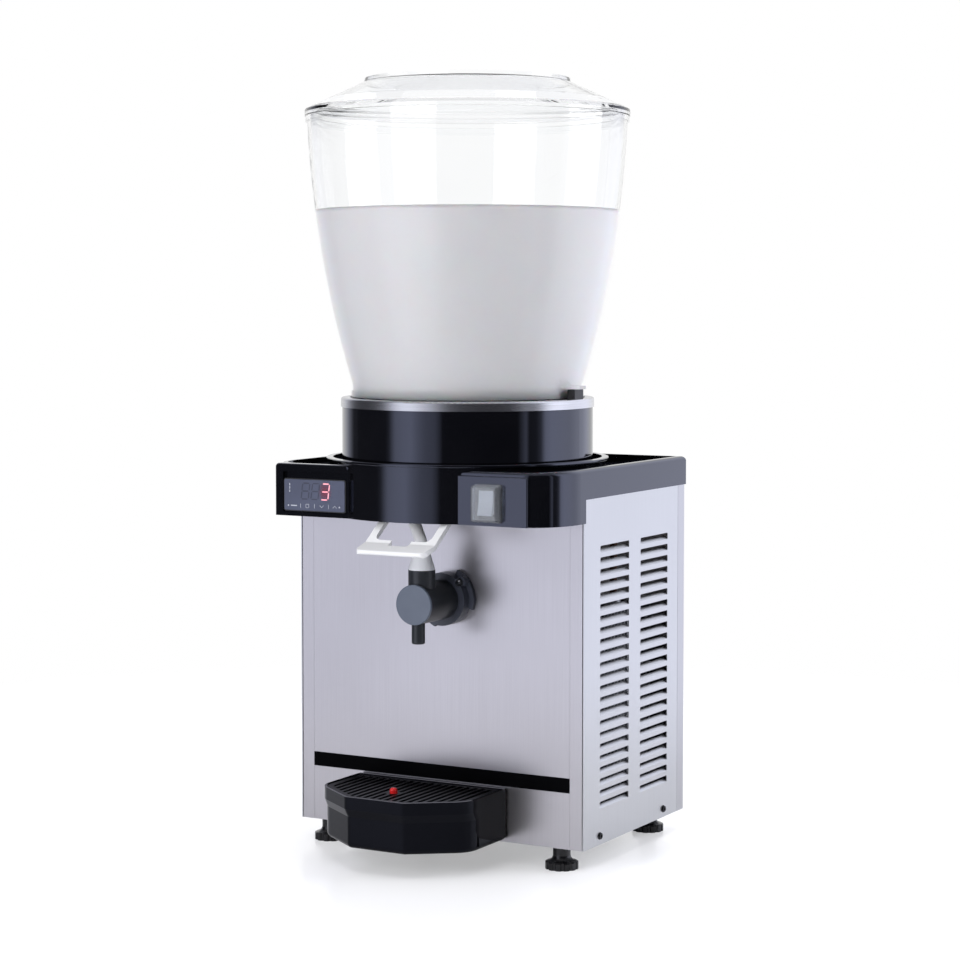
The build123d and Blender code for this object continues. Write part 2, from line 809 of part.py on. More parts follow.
# Chilled stainless base that closes the bottom of the bowl
with BuildPart() as evaporator_base:
    with BuildSketch(Plane.XY.offset(collar_top)):
        Circle(base_radius)
    extrude(amount=base_height)
    fillet(evaporator_base.faces().sort_by(Axis.Z)[-1].edges(), base_height / 5)
    with BuildSketch(Plane.XY.offset(base_floor)):
        Circle(base_seat)
    extrude(amount=base_sink, mode=Mode.SUBTRACT)
    with BuildSketch(Plane.XY.offset(collar_top)):
        Circle(collar_inner - 1)
    extrude(amount=base_under - collar_top, mode=Mode.SUBTRACT)
    with BuildSketch(Plane.XY.offset(base_under)):
        Circle(seal_radius + snug)
        with Locations((outlet_x, outlet_y)):
            Circle(outlet_radius + snug)
    extrude(amount=base_skin, mode=Mode.SUBTRACT)
evaporator_base.part.label = "evaporator_base"
export_step(evaporator_base.part, "parts/evaporator_base.step")

# Evaporator coil: one tube wound flat under the base
with BuildPart() as evaporator_coil:
    with BuildLine(Plane.XY.offset(coil_z)):
        for turn in range(coil_turns):
            inner = coil_inner + turn * coil_pitch
            middle = inner + coil_pitch / 2
            ThreePointArc((inner, 0), (0, inner), (-inner, 0))
            ThreePointArc((-inner, 0), (coil_pitch / 2, -middle), (inner + coil_pitch, 0))
    with BuildSketch(Plane(origin=(coil_inner, 0, coil_z), x_dir=(1, 0, 0), z_dir=(0, 1, 0))):
        Circle(coil_tube)
    sweep()
evaporator_coil.part.label = "evaporator_coil"
export_step(evaporator_coil.part, "parts/evaporator_coil.step")

# Gasket under the bowl's foot
with BuildPart() as bowl_gasket:
    with BuildSketch(Plane.XY.offset(base_floor)):
        Circle(bowl_foot)
        Circle(bowl_foot - gasket_width, mode=Mode.SUBTRACT)
    extrude(amount=gasket_height)
bowl_gasket.part.label = "bowl_gasket"
export_step(bowl_gasket.part, "parts/bowl_gasket.step")

# Clear bowl, open at both ends, with two lugs over the stops
waist_z = bowl_base + bowl_waist_rise
bow_r = (bowl_waist + bowl_mouth) / 2 + bowl_bow
bow_z = (waist_z + bowl_top - bowl_lip_height) / 2
lip_z = bowl_top - bowl_lip_height
with BuildPart() as bowl:
    with BuildSketch(Plane.XZ):
        with BuildLine():
            Polyline(
                (bowl_waist, waist_z),
                (bowl_waist, bowl_base + bowl_foot_height),
                (bowl_foot, bowl_base + bowl_foot_height),
                (bowl_foot, bowl_base),
                (bowl_bore, bowl_base),
                (bowl_bore, waist_z),
            )
            ThreePointArc(
                (bowl_bore, waist_z),
                (bow_r - bowl_wall, bow_z),
                (bowl_mouth - bowl_wall, lip_z),
            )
            Polyline(
                (bowl_mouth - bowl_wall, lip_z),
                (bowl_mouth - bowl_wall, bowl_top),
                (bowl_mouth + bowl_lip, bowl_top),
                (bowl_mouth + bowl_lip, lip_z),
                (bowl_mouth, lip_z),
            )
            ThreePointArc((bowl_mouth, lip_z), (bow_r, bow_z), (bowl_waist, waist_z))
        make_face()
    revolve(axis=Axis.Z)
    for side in (-1, 1):
        with BuildSketch(Plane.XY.offset(base_rim + stop_height + fit)):
            with Locations((side * (bowl_waist - bowl_wall / 2 + lug_reach / 2), 0)):
                Rectangle(lug_reach + bowl_wall / 2, lug_width)
        extrude(amount=lug_thick)
    with BuildSketch(Plane.XY.offset(bowl_base)):
        Circle(bowl_bore)
    extrude(amount=waist_z - bowl_base, mode=Mode.SUBTRACT)
bowl.part.label = "bowl"
export_step(bowl.part, "parts/bowl.step")

# Black stops on the base rim that keep the bowl from turning
with BuildPart() as bowl_stops:
    with BuildSketch(Plane.XY.offset(base_rim)):
        for side in (-1, 1):
            with Locations((side * (base_seat + stop_width / 2 - 2), 0)):
                Rectangle(stop_width, stop_length)
    extrude(amount=stop_height)
    with BuildSketch(Plane.XY.offset(base_rim)):
        Circle(base_seat)
    extrude(amount=stop_height, mode=Mode.SUBTRACT)
bowl_stops.part.label = "bowl_stops"
export_step(bowl_stops.part, "parts/bowl_stops.step")

# Clear lid: lip, sloping shoulder and a dished disc on top
lid_seat = bowl_top + fit / 2
lid_radius = bowl_mouth + bowl_lip + lid_out
lid_shoulder_r = lid_radius - lid_shoulder_in
lid_shoulder_z = bowl_top + lid_shoulder_rise
lid_disc_z = bowl_top + lid_disc_rise
skirt_r = bowl_mouth - bowl_wall - 2 * fit
with BuildPart() as lid:
    with BuildSketch(Plane.XZ) as profile:
        with BuildLine():
            Polyline(
                (0, lid_disc_z),
                (lid_disc_radius - lid_wall, lid_disc_z),
                (lid_disc_radius - lid_wall, lid_disc_z + lid_rim),
                (lid_disc_radius, lid_disc_z + lid_rim),
                (lid_disc_radius + 1, lid_disc_z),
                (lid_shoulder_r, lid_shoulder_z),
                (lid_radius, lid_seat + lid_lip),
                (lid_radius, lid_seat),
                (skirt_r, lid_seat),
                (skirt_r, lid_seat - lid_skirt),
                (skirt_r - lid_wall, lid_seat - lid_skirt),
                (skirt_r - lid_wall, lid_seat + lid_lip - lid_wall),
                (lid_shoulder_r - lid_wall / 2, lid_shoulder_z - lid_wall),
                (lid_disc_radius, lid_disc_z - lid_wall),
                (0, lid_disc_z - lid_wall),
                close=True,
            )
        make_face()
        bends = profile.vertices().filter_by(
            lambda v: abs(v.X - lid_shoulder_r) < lid_wall and v.Z > lid_seat + lid_lip
        )
        fillet(bends, lid_bend)
    revolve(axis=Axis.Z)
    brim = lid.edges().filter_by(GeomType.CIRCLE)
    fillet(brim.filter_by(lambda e: e.radius > lid_radius - 0.01), lid_wall / 2)
lid.part.label = "lid"
export_step(lid.part, "parts/lid.step")

# Stirrer: blades, shaft, seal and gear motor under the base
blade_base = bowl_base + 2
with BuildPart() as agitator:
    with BuildSketch(Plane.XY.offset(blade_base)):
        Circle(2.5 * stir_shaft)
        Circle(stir_shaft + snug, mode=Mode.SUBTRACT)
    extrude(amount=agitator_height)
    with BuildSketch(Plane.XY.offset(blade_base)):
        with PolarLocations((agitator_radius + 2 * stir_shaft) / 2, 3):
            Rectangle(agitator_radius - 2 * stir_shaft, stir_shaft)
    extrude(amount=agitator_height * 0.6)
agitator.part.label = "agitator"
export_step(agitator.part, "parts/agitator.step")

with BuildPart() as agitator_shaft:
    with BuildSketch(Plane.XY.offset(gear_top - gear_height / 2 + fit)):
        Circle(stir_shaft)
    extrude(amount=blade_base + agitator_height - gear_top + gear_height / 2)
agitator_shaft.part.label = "agitator_shaft"
export_step(agitator_shaft.part, "parts/agitator_shaft.step")

with BuildPart() as shaft_seal:
    with BuildSketch(Plane.XY.offset(base_under)):
        Circle(seal_radius)
        Circle(stir_shaft + run_fit, mode=Mode.SUBTRACT)
    extrude(amount=base_skin + gasket_height)
shaft_seal.part.label = "shaft_seal"
export_step(shaft_seal.part, "parts/shaft_seal.step")

with BuildPart() as gear_motor:
    with BuildSketch(Plane.XY.offset(gear_top - gear_height)):
        Circle(gear_radius)
    extrude(amount=gear_height)
    fillet(gear_motor.edges(), 3)
    with BuildSketch(Plane.XY.offset(gear_top)):
        Circle(2 * seal_radius)
    extrude(amount=gear_boss)
    with BuildSketch(Plane.XY.offset(gear_top - gear_height / 2)):
        Circle(stir_shaft + run_fit)
    extrude(amount=gear_height, mode=Mode.SUBTRACT)
gear_motor.part.label = "gear_motor"
export_step(gear_motor.part, "parts/gear_motor.step")

# Outlet pipe from the base down behind the apron, with a nipple for the tube
with BuildPart() as outlet_pipe:
    with BuildSketch(Plane.XY.offset(outlet_end)):
        with Locations((outlet_x, outlet_y)):
            Circle(outlet_radius)
            Circle(outlet_bore, mode=Mode.SUBTRACT)
    extrude(amount=base_floor - outlet_end)
    with BuildSketch(Plane.XY.offset(outlet_end)):
        with Locations((outlet_x, outlet_y)):
            Circle(outlet_radius)
    extrude(amount=outlet_radius - outlet_bore)
    with BuildSketch(Plane.XY.offset(nipple_end)):
        with Locations((outlet_x, outlet_y)):
            Circle(nipple_radius)
    extrude(amount=nipple_length)
    with BuildSketch(Plane.XY.offset(nipple_end)):
        with Locations((outlet_x, outlet_y)):
            Circle(nipple_radius * 0.65)
    extrude(amount=nipple_length + outlet_radius, mode=Mode.SUBTRACT)
outlet_pipe.part.label = "outlet_pipe"
export_step(outlet_pipe.part, "parts/outlet_pipe.step")

# Soft tube from the nipple to the funnel on the foaming head
funnel_top = inlet_top + funnel_height
with BuildPart() as pinch_tube:
    with BuildLine() as route:
        FilletPolyline(
            (outlet_x, outlet_y, outlet_end - fit),
            (outlet_x, outlet_y, nipple_end - 4),
            (tap_x, inlet_y, funnel_top + 9),
            (tap_x, inlet_y, funnel_top - 8),
            radius=14,
        )
    with BuildSketch(Plane(origin=(outlet_x, outlet_y, outlet_end - fit), z_dir=(0, 0, -1))):
        Circle(tube_radius)
        Circle(tube_bore, mode=Mode.SUBTRACT)
    sweep(path=route.wires()[0])
pinch_tube.part.label = "pinch_tube"
export_step(pinch_tube.part, "parts/pinch_tube.step")

# Milky funnel that guides the tube into the foaming head
with BuildPart() as inlet_funnel:
    with BuildSketch(Plane.XZ):
        with BuildLine():
            Polyline(
                (inlet_radius - 0.4, inlet_top),
                (inlet_radius - 0.4, inlet_top + 1.5),
                (funnel_neck, funnel_top),
                (tube_radius + snug, funnel_top),
                (tube_radius + snug, funnel_top - 9),
                (inlet_radius - 0.4 - funnel_wall, inlet_top),
                close=True,
            )
        make_face()
    revolve(axis=Axis.Z)
inlet_funnel.part = Pos(tap_x, inlet_y, 0) * inlet_funnel.part
inlet_funnel.part.label = "inlet_funnel"
export_step(inlet_funnel.part, "parts/inlet_funnel.step")

# Foaming head: chamber with its inlet and spout
with BuildPart() as whipper_chamber:
    with BuildSketch(front_plane(mount_front)):
        with Locations((tap_x, tap_z)):
            Circle(head_radius)
    extrude(amount=head_front - cap_thick - mount_front)
    with BuildSketch(Plane.XY.offset(tap_z)):
        with Locations((tap_x, inlet_y)):
            Circle(inlet_radius)
    extrude(amount=inlet_rise)
    with BuildSketch(Plane.XY.offset(tap_z)):
        with Locations((tap_x, spout_y)):
            Circle(spout_radius)
    extrude(amount=-spout_drop)
    tip = whipper_chamber.edges().filter_by(GeomType.CIRCLE).sort_by(Axis.Z)[0]
    fillet(tip, (spout_radius - spout_bore) * 0.8)
    with BuildSketch(front_plane(mount_front)):
        with Locations((tap_x, tap_z)):
            Circle(head_radius - head_wall)
    extrude(amount=head_front - cap_thick - mount_front, mode=Mode.SUBTRACT)
    with BuildSketch(Plane.XY.offset(tap_z)):
        with Locations((tap_x, inlet_y)):
            Circle(inlet_radius - head_wall)
    extrude(amount=inlet_rise, mode=Mode.SUBTRACT)
    with BuildSketch(Plane.XY.offset(tap_z)):
        with Locations((tap_x, spout_y)):
            Circle(spout_bore)
    extrude(amount=-spout_drop, mode=Mode.SUBTRACT)
whipper_chamber.part.label = "whipper_chamber"
export_step(whipper_chamber.part, "parts/whipper_chamber.step")

with BuildPart() as whipper_cap:
    with BuildSketch(front_plane(head_front - cap_thick)):
        with Locations((tap_x, tap_z)):
            Circle(head_radius)
    extrude(amount=cap_thick)
    fillet(whipper_cap.faces().sort_by(Axis.Y)[0].edges(), cap_thick / 3)
whipper_cap.part.label = "whipper_cap"
export_step(whipper_cap.part, "parts/whipper_cap.step")

# Mount on the front panel, with two screwed ears and curved wings
ears = [(tap_x + s * ear_radius * cos(radians(ear_angle)),
         tap_z + s * ear_radius * sin(radians(ear_angle))) for s in (1, -1)]
with BuildPart() as whipper_mount:
    with BuildSketch(front_plane(front_depth)):
        with Locations((tap_x, tap_z)):
            Circle(mount_radius)
    extrude(amount=mount_depth)
    with BuildSketch(front_plane(front_depth)):
        with Locations((tap_x, tap_z)):
            for start in (wing_start, wing_start + 180):
                with BuildLine():
                    rim = CenterArc((tap_x, tap_z), wing_radius, start, wing_sweep)
                    Line(rim @ 1, (tap_x, tap_z))
                    Line((tap_x, tap_z), rim @ 0)
                make_face()
    extrude(amount=wing_thick)
    with BuildSketch(front_plane(front_depth)):
        with Locations(*ears):
            Circle(ear_size)
    extrude(amount=mount_depth * 0.7)
    with BuildSketch(front_plane(front_depth)):
        with Locations((tap_x, tap_z)):
            Circle(whip_shaft + 2 * snug)
        with Locations(*ears):
            Circle(screw_shank + snug)
    extrude(amount=mount_depth, mode=Mode.SUBTRACT)
    with BuildSketch(front_plane(front_depth + mount_depth * 0.7)):
        with Locations(*ears):
            Circle(screw_head + fit)
    extrude(amount=mount_depth, mode=Mode.SUBTRACT)
whipper_mount.part.label = "whipper_mount"
export_step(whipper_mount.part, "parts/whipper_mount.step")

with BuildPart() as mount_screws:
    with BuildSketch(front_plane(front_depth + fit)):
        with Locations(*ears):
            Circle(screw_shank)
    extrude(amount=mount_depth * 0.7 - fit)
    with BuildSketch(front_plane(front_depth + mount_depth * 0.7)):
        with Locations(*ears):
            Circle(screw_head)
    extrude(amount=screw_head / 2)
    with BuildSketch(front_plane(front_depth + mount_depth * 0.7 + screw_head / 2)):
        with Locations(*ears):
            RegularPolygon(socket_radius, 6)
    extrude(amount=-socket_depth, mode=Mode.SUBTRACT)
mount_screws.part.label = "mount_screws"
export_step(mount_screws.part, "parts/mount_screws.step")

# Whipper wheel on its motor shaft, and the motor behind the front panel
wheel_back = mount_front + 6
with BuildPart() as whipper_wheel:
    with BuildSketch(front_plane(wheel_back)):
        with Locations((tap_x, tap_z)):
            Circle(impeller_radius)
    extrude(amount=3)
    with BuildSketch(front_plane(wheel_back)):
        with Locations((tap_x, tap_z)):
            with PolarLocations(impeller_radius * 0.6, 6):
                Rectangle(impeller_radius * 0.7, 2)
            Circle(2 * whip_shaft)
    extrude(amount=11)
    with BuildSketch(front_plane(front_depth - whip_motor_length / 2)):
        with Locations((tap_x, tap_z)):
            Circle(whip_shaft)
    extrude(amount=wheel_back - front_depth + whip_motor_length / 2)
whipper_wheel.part.label = "whipper_wheel"
export_step(whipper_wheel.part, "parts/whipper_wheel.step")

with BuildPart() as whipper_motor:
    with BuildSketch(front_plane(front_depth - sheet)):
        with Locations((tap_x, tap_z)):
            Circle(whip_motor_radius)
    extrude(amount=-whip_motor_length)
    with BuildSketch(front_plane(front_depth - sheet)):
        with Locations((tap_x, tap_z)):
            Circle(whip_boss)
    extrude(amount=sheet)
    with BuildSketch(front_plane(front_depth)):
        with Locations((tap_x, tap_z)):
            Circle(whip_shaft + run_fit)
    extrude(amount=-whip_motor_length / 2 - fit, mode=Mode.SUBTRACT)
whipper_motor.part.label = "whipper_motor"
export_step(whipper_motor.part, "parts/whipper_motor.step")

# Lever: a bent frame on a cross pin under the cover
bend_y = lever_pivot_y - lever_length * cos(radians(lever_tilt))
bend_z = pivot_z - lever_length * sin(radians(lever_tilt))
tip_y = bend_y - lip_length * cos(radians(lip_tilt))
tip_z = bend_z - lip_length * sin(radians(lip_tilt))
lever_front = tip_y - lever_thick / 2
lever_rear = lever_pivot_y + lever_thick
plate_rear = lever_front + lever_plate
opening_rear = lever_rear + 2 * lever_corner
with BuildPart() as lever:
    with BuildSketch(Plane.YZ.offset(tap_x - lever_half)):
        with BuildLine():
            FilletPolyline(
                (lever_pivot_y, pivot_z),
                (bend_y, bend_z),
                (tip_y, tip_z),
                radius=lever_bend,
            )
            offset(amount=lever_thick / 2)
        make_face()
    extrude(amount=2 * lever_half)
    with BuildSketch() as frame:
        with Locations((tap_x, (lever_front + lever_rear) / 2)):
            Rectangle(2 * lever_half, lever_rear - lever_front)
        fillet(frame.vertices().group_by(Axis.Y)[0], lever_corner)
        with Locations((tap_x, (plate_rear + opening_rear) / 2)):
            RectangleRounded(
                2 * (lever_half - lever_arm),
                opening_rear - plate_rear,
                lever_corner,
                mode=Mode.SUBTRACT,
            )
        with Locations((tap_x, plate_rear)):
            RectangleRounded(lever_notch, 2 * lever_notch_depth, lever_corner / 2, mode=Mode.SUBTRACT)
    extrude(amount=rim_top, mode=Mode.INTERSECT)
    for side in (-1, 1):
        with BuildSketch(Plane.YZ.offset(tap_x + side * lever_half)):
            with Locations((lever_pivot_y, pivot_z)):
                Circle(hub_radius)
        extrude(amount=-side * lever_arm)
    with BuildSketch(Plane.YZ.offset(tap_x - lever_half)):
        with Locations((lever_pivot_y, pivot_z)):
            Circle(pin_radius + run_fit)
    extrude(amount=2 * lever_half, mode=Mode.SUBTRACT)
lever.part.label = "lever"
export_step(lever.part, "parts/lever.step")

with BuildPart() as lever_pin:
    with BuildSketch(Plane.YZ.offset(tap_x - lever_half - cheek_thick)):
        with Locations((lever_pivot_y, pivot_z)):
            Circle(pin_radius)
    extrude(amount=2 * (lever_half + cheek_thick))
lever_pin.part.label = "lever_pin"
export_step(lever_pin.part, "parts/lever_pin.step")

with BuildPart() as lever_bracket:
    for side in (-1, 1):
        with BuildSketch(Plane.YZ.offset(tap_x + side * (lever_half + fit))):
            with Locations((lever_pivot_y, (pivot_z - hub_radius + cover_under) / 2)):
                Rectangle(cheek_depth, cover_under - pivot_z + hub_radius)
            with Locations((lever_pivot_y, pivot_z)):
                Circle(pin_radius + snug, mode=Mode.SUBTRACT)
        extrude(amount=side * cheek_thick)
lever_bracket.part.label = "lever_bracket"
export_step(lever_bracket.part, "parts/lever_bracket.step")

# Return spring round the pin, beside the right arm
spring_start = tap_x + lever_half - lever_arm - 2 - spring_turns * 3 * spring_wire
with BuildPart() as lever_spring:
    with BuildLine() as wind:
        Helix(
            pitch=3 * spring_wire,
            height=spring_turns * 3 * spring_wire,
            radius=spring_radius,
            center=(spring_start, lever_pivot_y, pivot_z),
            direction=(1, 0, 0),
        )
    with BuildSketch(Plane(origin=wind.edges()[0] @ 0, z_dir=wind.edges()[0] % 0)):
        Circle(spring_wire)
    sweep(path=wind.wires()[0], is_frenet=True)
lever_spring.part.label = "lever_spring"
export_step(lever_spring.part, "parts/lever_spring.step")

# Drip tray with a faceted front that steps in below its band
tray_low = tray_top - tray_band - tray_slope
with BuildPart() as drip_tray:
    with BuildSketch(Plane.XY.offset(tray_top - tray_band)):
        add(tray_plan(0, 0))
    extrude(amount=tray_band)
    with BuildSketch(Plane.XY.offset(tray_low)):
        add(tray_plan(tray_inset, 0))
    with BuildSketch(Plane.XY.offset(tray_top - tray_band)):
        add(tray_plan(0, 0))
    loft()
    with BuildSketch(Plane.XY.offset(tray_bottom)):
        add(tray_plan(tray_inset, 0))
    extrude(amount=tray_low - tray_bottom)
    fillet(drip_tray.faces().sort_by(Axis.Z)[0].edges(), tray_edge)
    with BuildSketch(Plane.XY.offset(tray_bottom + tray_wall)):
        add(tray_plan(tray_inset + tray_wall, tray_wall))
    extrude(amount=ledge - ledge_thick - tray_bottom - tray_wall, mode=Mode.SUBTRACT)
    with BuildSketch(Plane.XY.offset(ledge - ledge_thick)):
        add(tray_plan(tray_inset + tray_wall, tray_wall + ledge_width))
    extrude(amount=ledge_thick, mode=Mode.SUBTRACT)
    with BuildSketch(Plane.XY.offset(ledge)):
        add(tray_plan(tray_wall, tray_wall))
    extrude(amount=tray_top - ledge, mode=Mode.SUBTRACT)
drip_tray.part.label = "drip_tray"
export_step(drip_tray.part, "parts/drip_tray.step")

float_xy = (tray_x + float_x, float_back - tray_front)
with BuildPart() as drip_grille:
    with BuildSketch(Plane.XY.offset(ledge)):
        add(tray_plan(tray_wall + fit, tray_wall + fit))
    extrude(amount=grille_thick)
    with BuildSketch(Plane.XY.offset(ledge)):
        with Locations((tray_x, -(tray_front + front_depth) / 2)):
            with GridLocations(grille_pitch, 1, grille_bars, 1):
                Rectangle(grille_slot, tray_reach)
        add(tray_plan(tray_wall + grille_frame, tray_wall + grille_frame), mode=Mode.INTERSECT)
        with Locations(float_xy):
            Circle(2 * float_radius, mode=Mode.SUBTRACT)
    extrude(amount=grille_thick, mode=Mode.SUBTRACT)
    with BuildSketch(Plane.XY.offset(ledge)):
        with Locations(float_xy):
            Circle(float_radius + 2 * fit)
    extrude(amount=grille_thick, mode=Mode.SUBTRACT)
drip_grille.part.label = "drip_grille"
export_step(drip_grille.part, "parts/drip_grille.step")

# Red float that shows when the tray is full
with BuildPart() as drip_float:
    with BuildSketch(Plane.XY.offset(tray_bottom + tray_wall + fit)):
        with Locations(float_xy):
            Circle(float_disc)
    extrude(amount=2 * float_radius)
    with BuildSketch(Plane.XY.offset(tray_bottom + tray_wall + fit)):
        with Locations(float_xy):
            Circle(float_stem)
    extrude(amount=tray_height - tray_wall)
    with BuildSketch(Plane.XY.offset(ledge)):
        with Locations(float_xy):
            Circle(float_radius)
    extrude(amount=tray_top - ledge + float_rise)
    fillet(drip_float.faces().sort_by(Axis.Z)[-1].edges(), float_radius * 0.7)
drip_float.part.label = "drip_float"
export_step(drip_float.part, "parts/drip_float.step")

# Shelf on the front panel that carries the tray
with BuildPart() as tray_bracket:
    with BuildSketch(front_plane(front_depth)):
        with Locations((tray_x, (foot_height + tray_low) / 2)):
            Rectangle(2 * shelf_half, tray_low - foot_height)
    extrude(amount=shelf_thick)
    with BuildSketch(Plane.XY.offset(tray_bottom - fit)):
        with Locations((tray_x, -front_depth - shelf_reach / 2)):
            Rectangle(2 * shelf_half, shelf_reach)
    extrude(amount=-shelf_thick)
tray_bracket.part.label = "tray_bracket"
export_step(tray_bracket.part, "parts/tray_bracket.step")

# Compressor on rubber feet
with BuildPart() as compressor:
    with BuildSketch(Plane.XY.offset(pan_floor + grommet_height)):
        with Locations((compressor_x, compressor_y)):
            RectangleRounded(2.15 * compressor_radius, 1.65 * compressor_radius, grommet_radius)
    extrude(amount=compressor_plate)
    with BuildSketch(Plane.XY.offset(pan_floor + grommet_height + compressor_plate)):
        with Locations((compressor_x, compressor_y)):
            Circle(compressor_radius)
    extrude(amount=compressor_height)
    fillet(compressor.faces().sort_by(Axis.Z)[-1].edges(), compressor_radius / 3)
    with BuildSketch(Plane.XY.offset(compressor_top - pipe_radius)):
        with Locations(*[(compressor_x + side * stub_spread, compressor_y) for side in (-1, 1)]):
            Circle(pipe_radius)
    extrude(amount=stub_rise + pipe_radius)
compressor.part.label = "compressor"
export_step(compressor.part, "parts/compressor.step")

with BuildPart() as compressor_grommets:
    with BuildSketch(Plane.XY.offset(pan_floor)):
        with Locations((compressor_x, compressor_y)):
            with GridLocations(1.8 * compressor_radius, 1.3 * compressor_radius, 2, 2):
                Circle(grommet_radius)
    extrude(amount=grommet_height)
compressor_grommets.part.label = "compressor_grommets"
export_step(compressor_grommets.part, "parts/compressor_grommets.step")

# Condenser: fins on straight tubes between two end plates that stand on the pan
fin_pitch = condenser_length / (fin_count - 1)
with BuildPart() as condenser:
    with BuildSketch(Plane.XY.offset(pan_floor)):
        with Locations((condenser_x, condenser_y)):
            with GridLocations(1, condenser_length, 1, 2):
                Rectangle(condenser_thick, 2 * fin_thick)
    extrude(amount=condenser_height)
    with BuildSketch(Plane.XY.offset(pan_floor + pan_lip)):
        with Locations((condenser_x, condenser_y)):
            with GridLocations(1, fin_pitch, 1, fin_count):
                Rectangle(condenser_thick, fin_thick)
    extrude(amount=condenser_height - pan_lip)
    with BuildSketch(Plane.XZ.offset(-condenser_y - condenser_length / 2)):
        with Locations((condenser_x, pan_floor + (condenser_height + pan_lip) / 2)):
            with GridLocations(condenser_thick / 2, (condenser_height - pan_lip) / 8, 2, 8):
                Circle(pipe_radius)
    extrude(amount=condenser_length)
    with BuildSketch(Plane.XY.offset(condenser_top - stub_rise)):
        with Locations((condenser_x, compressor_y), (condenser_x, condenser_y - condenser_length / 3)):
            Circle(pipe_radius + fin_pitch / 2)
    extrude(amount=2 * stub_rise)
condenser.part.label = "condenser"
export_step(condenser.part, "parts/condenser.step")

# Fan: shroud with motor arms, motor and blades
shroud_in = condenser_in - shroud_thick
arm_x = shroud_in - fan_depth
with BuildPart() as fan_shroud:
    with BuildSketch(Plane.YZ.offset(shroud_in)):
        with Locations((condenser_y, pan_floor + (condenser_height + pan_lip) / 2)):
            Rectangle(condenser_length, condenser_height - pan_lip)
        with Locations((condenser_y, fan_z)):
            Circle(fan_radius + fan_gap, mode=Mode.SUBTRACT)
    extrude(amount=shroud_thick)
    with BuildSketch(Plane.YZ.offset(arm_x)):
        with Locations((condenser_y, fan_z)):
            Circle(fan_radius + fan_gap + 2)
            Circle(fan_radius + fan_gap, mode=Mode.SUBTRACT)
    extrude(amount=fan_depth)
    with BuildSketch(Plane.YZ.offset(arm_x)):
        with Locations((condenser_y, fan_z)):
            Circle(fan_motor_radius)
            with PolarLocations(fan_radius / 2 + fan_gap, 3, 90):
                Rectangle(fan_radius, 10)
            Circle(2 * whip_shaft, mode=Mode.SUBTRACT)
    extrude(amount=shroud_thick)
fan_shroud.part.label = "fan_shroud"
export_step(fan_shroud.part, "parts/fan_shroud.step")

with BuildPart() as fan_motor:
    with BuildSketch(Plane.YZ.offset(arm_x)):
        with Locations((condenser_y, fan_z)):
            Circle(fan_motor_radius)
    extrude(amount=-fan_motor_length)
    fillet(fan_motor.faces().sort_by(Axis.X)[0].edges(), 4)
    with BuildSketch(Plane.YZ.offset(arm_x)):
        with Locations((condenser_y, fan_z)):
            Circle(whip_shaft + run_fit)
    extrude(amount=-fan_motor_length / 2, mode=Mode.SUBTRACT)
fan_motor.part.label = "fan_motor"
export_step(fan_motor.part, "parts/fan_motor.step")

hub_x = arm_x + shroud_thick + fan_gap
hub_long = fan_depth - shroud_thick - 2 * fan_gap
with BuildPart() as fan_blade:
    with BuildSketch(Plane.YZ.offset(hub_x)):
        with Locations((condenser_y, fan_z)):
            Circle(fan_radius / 4)
    extrude(amount=hub_long)
    with BuildSketch(Plane.YZ.offset(arm_x - fan_motor_length / 2 + fit)):
        with Locations((condenser_y, fan_z)):
            Circle(whip_shaft)
    extrude(amount=hub_x - arm_x + fan_motor_length / 2 - fit)
    for number in range(5):
        turn = 72 * number
        blade_plane = Plane(
            origin=(hub_x + hub_long / 2, condenser_y, fan_z),
            x_dir=(0, -sin(radians(turn)), cos(radians(turn))),
            z_dir=(0, cos(radians(turn)), sin(radians(turn))),
        )
        with BuildSketch(blade_plane.offset(fan_radius / 5)):
            Rectangle(hub_long * 1.2, 2, rotation=40)
        extrude(amount=fan_radius * 0.78)
fan_blade.part.label = "fan_blade"
export_step(fan_blade.part, "parts/fan_blade.step")

# Filter drier on the condenser's outlet
drier_y = condenser_y - condenser_length / 3
drier_base = condenser_top + stub_rise
with BuildPart() as filter_drier:
    with BuildSketch(Plane.XY.offset(drier_base)):
        with Locations((condenser_x, drier_y)):
            Circle(drier_radius)
    extrude(amount=drier_length)
    fillet(filter_drier.edges(), 3)
filter_drier.part.label = "filter_drier"
export_step(filter_drier.part, "parts/filter_drier.step")

# Refrigerant pipes: discharge, suction and capillary
drier_top = drier_base + drier_length
pipe_high = drier_top + 4 * pipe_radius
stub_top = compressor_top + stub_rise
suction_x = compressor_x - stub_spread
suction_high = pipe_high + suction_rise
capillary_x = coil_inner + capillary_out
coil_end = coil_inner + coil_turns * coil_pitch
discharge = (
    (compressor_x + stub_spread, compressor_y, stub_top),
    (compressor_x + stub_spread, compressor_y, pipe_high),
    (condenser_x, compressor_y, pipe_high),
    (condenser_x, compressor_y, drier_base),
)
suction = (
    (coil_inner, 0, coil_z),
    (coil_inner, -suction_front, coil_z),
    (coil_inner, -suction_front, suction_high),
    (suction_x, -suction_front, suction_high),
    (suction_x, compressor_y, suction_high),
    (suction_x, compressor_y, stub_top),
)
capillary = (
    (condenser_x, drier_y, drier_top),
    (condenser_x, drier_y, pipe_high + capillary_rise),
    (capillary_x, drier_y, pipe_high + capillary_rise),
    (capillary_x, drier_y, coil_z - capillary_dip),
    (coil_end, drier_y, coil_z - capillary_dip),
    (coil_end, drier_y, coil_z),
    (coil_end, 0, coil_z),
)
lines = (
    (pipe_radius, pipe_bend, discharge),
    (pipe_radius, pipe_bend, suction),
    (capillary_radius, capillary_bend, capillary),
)
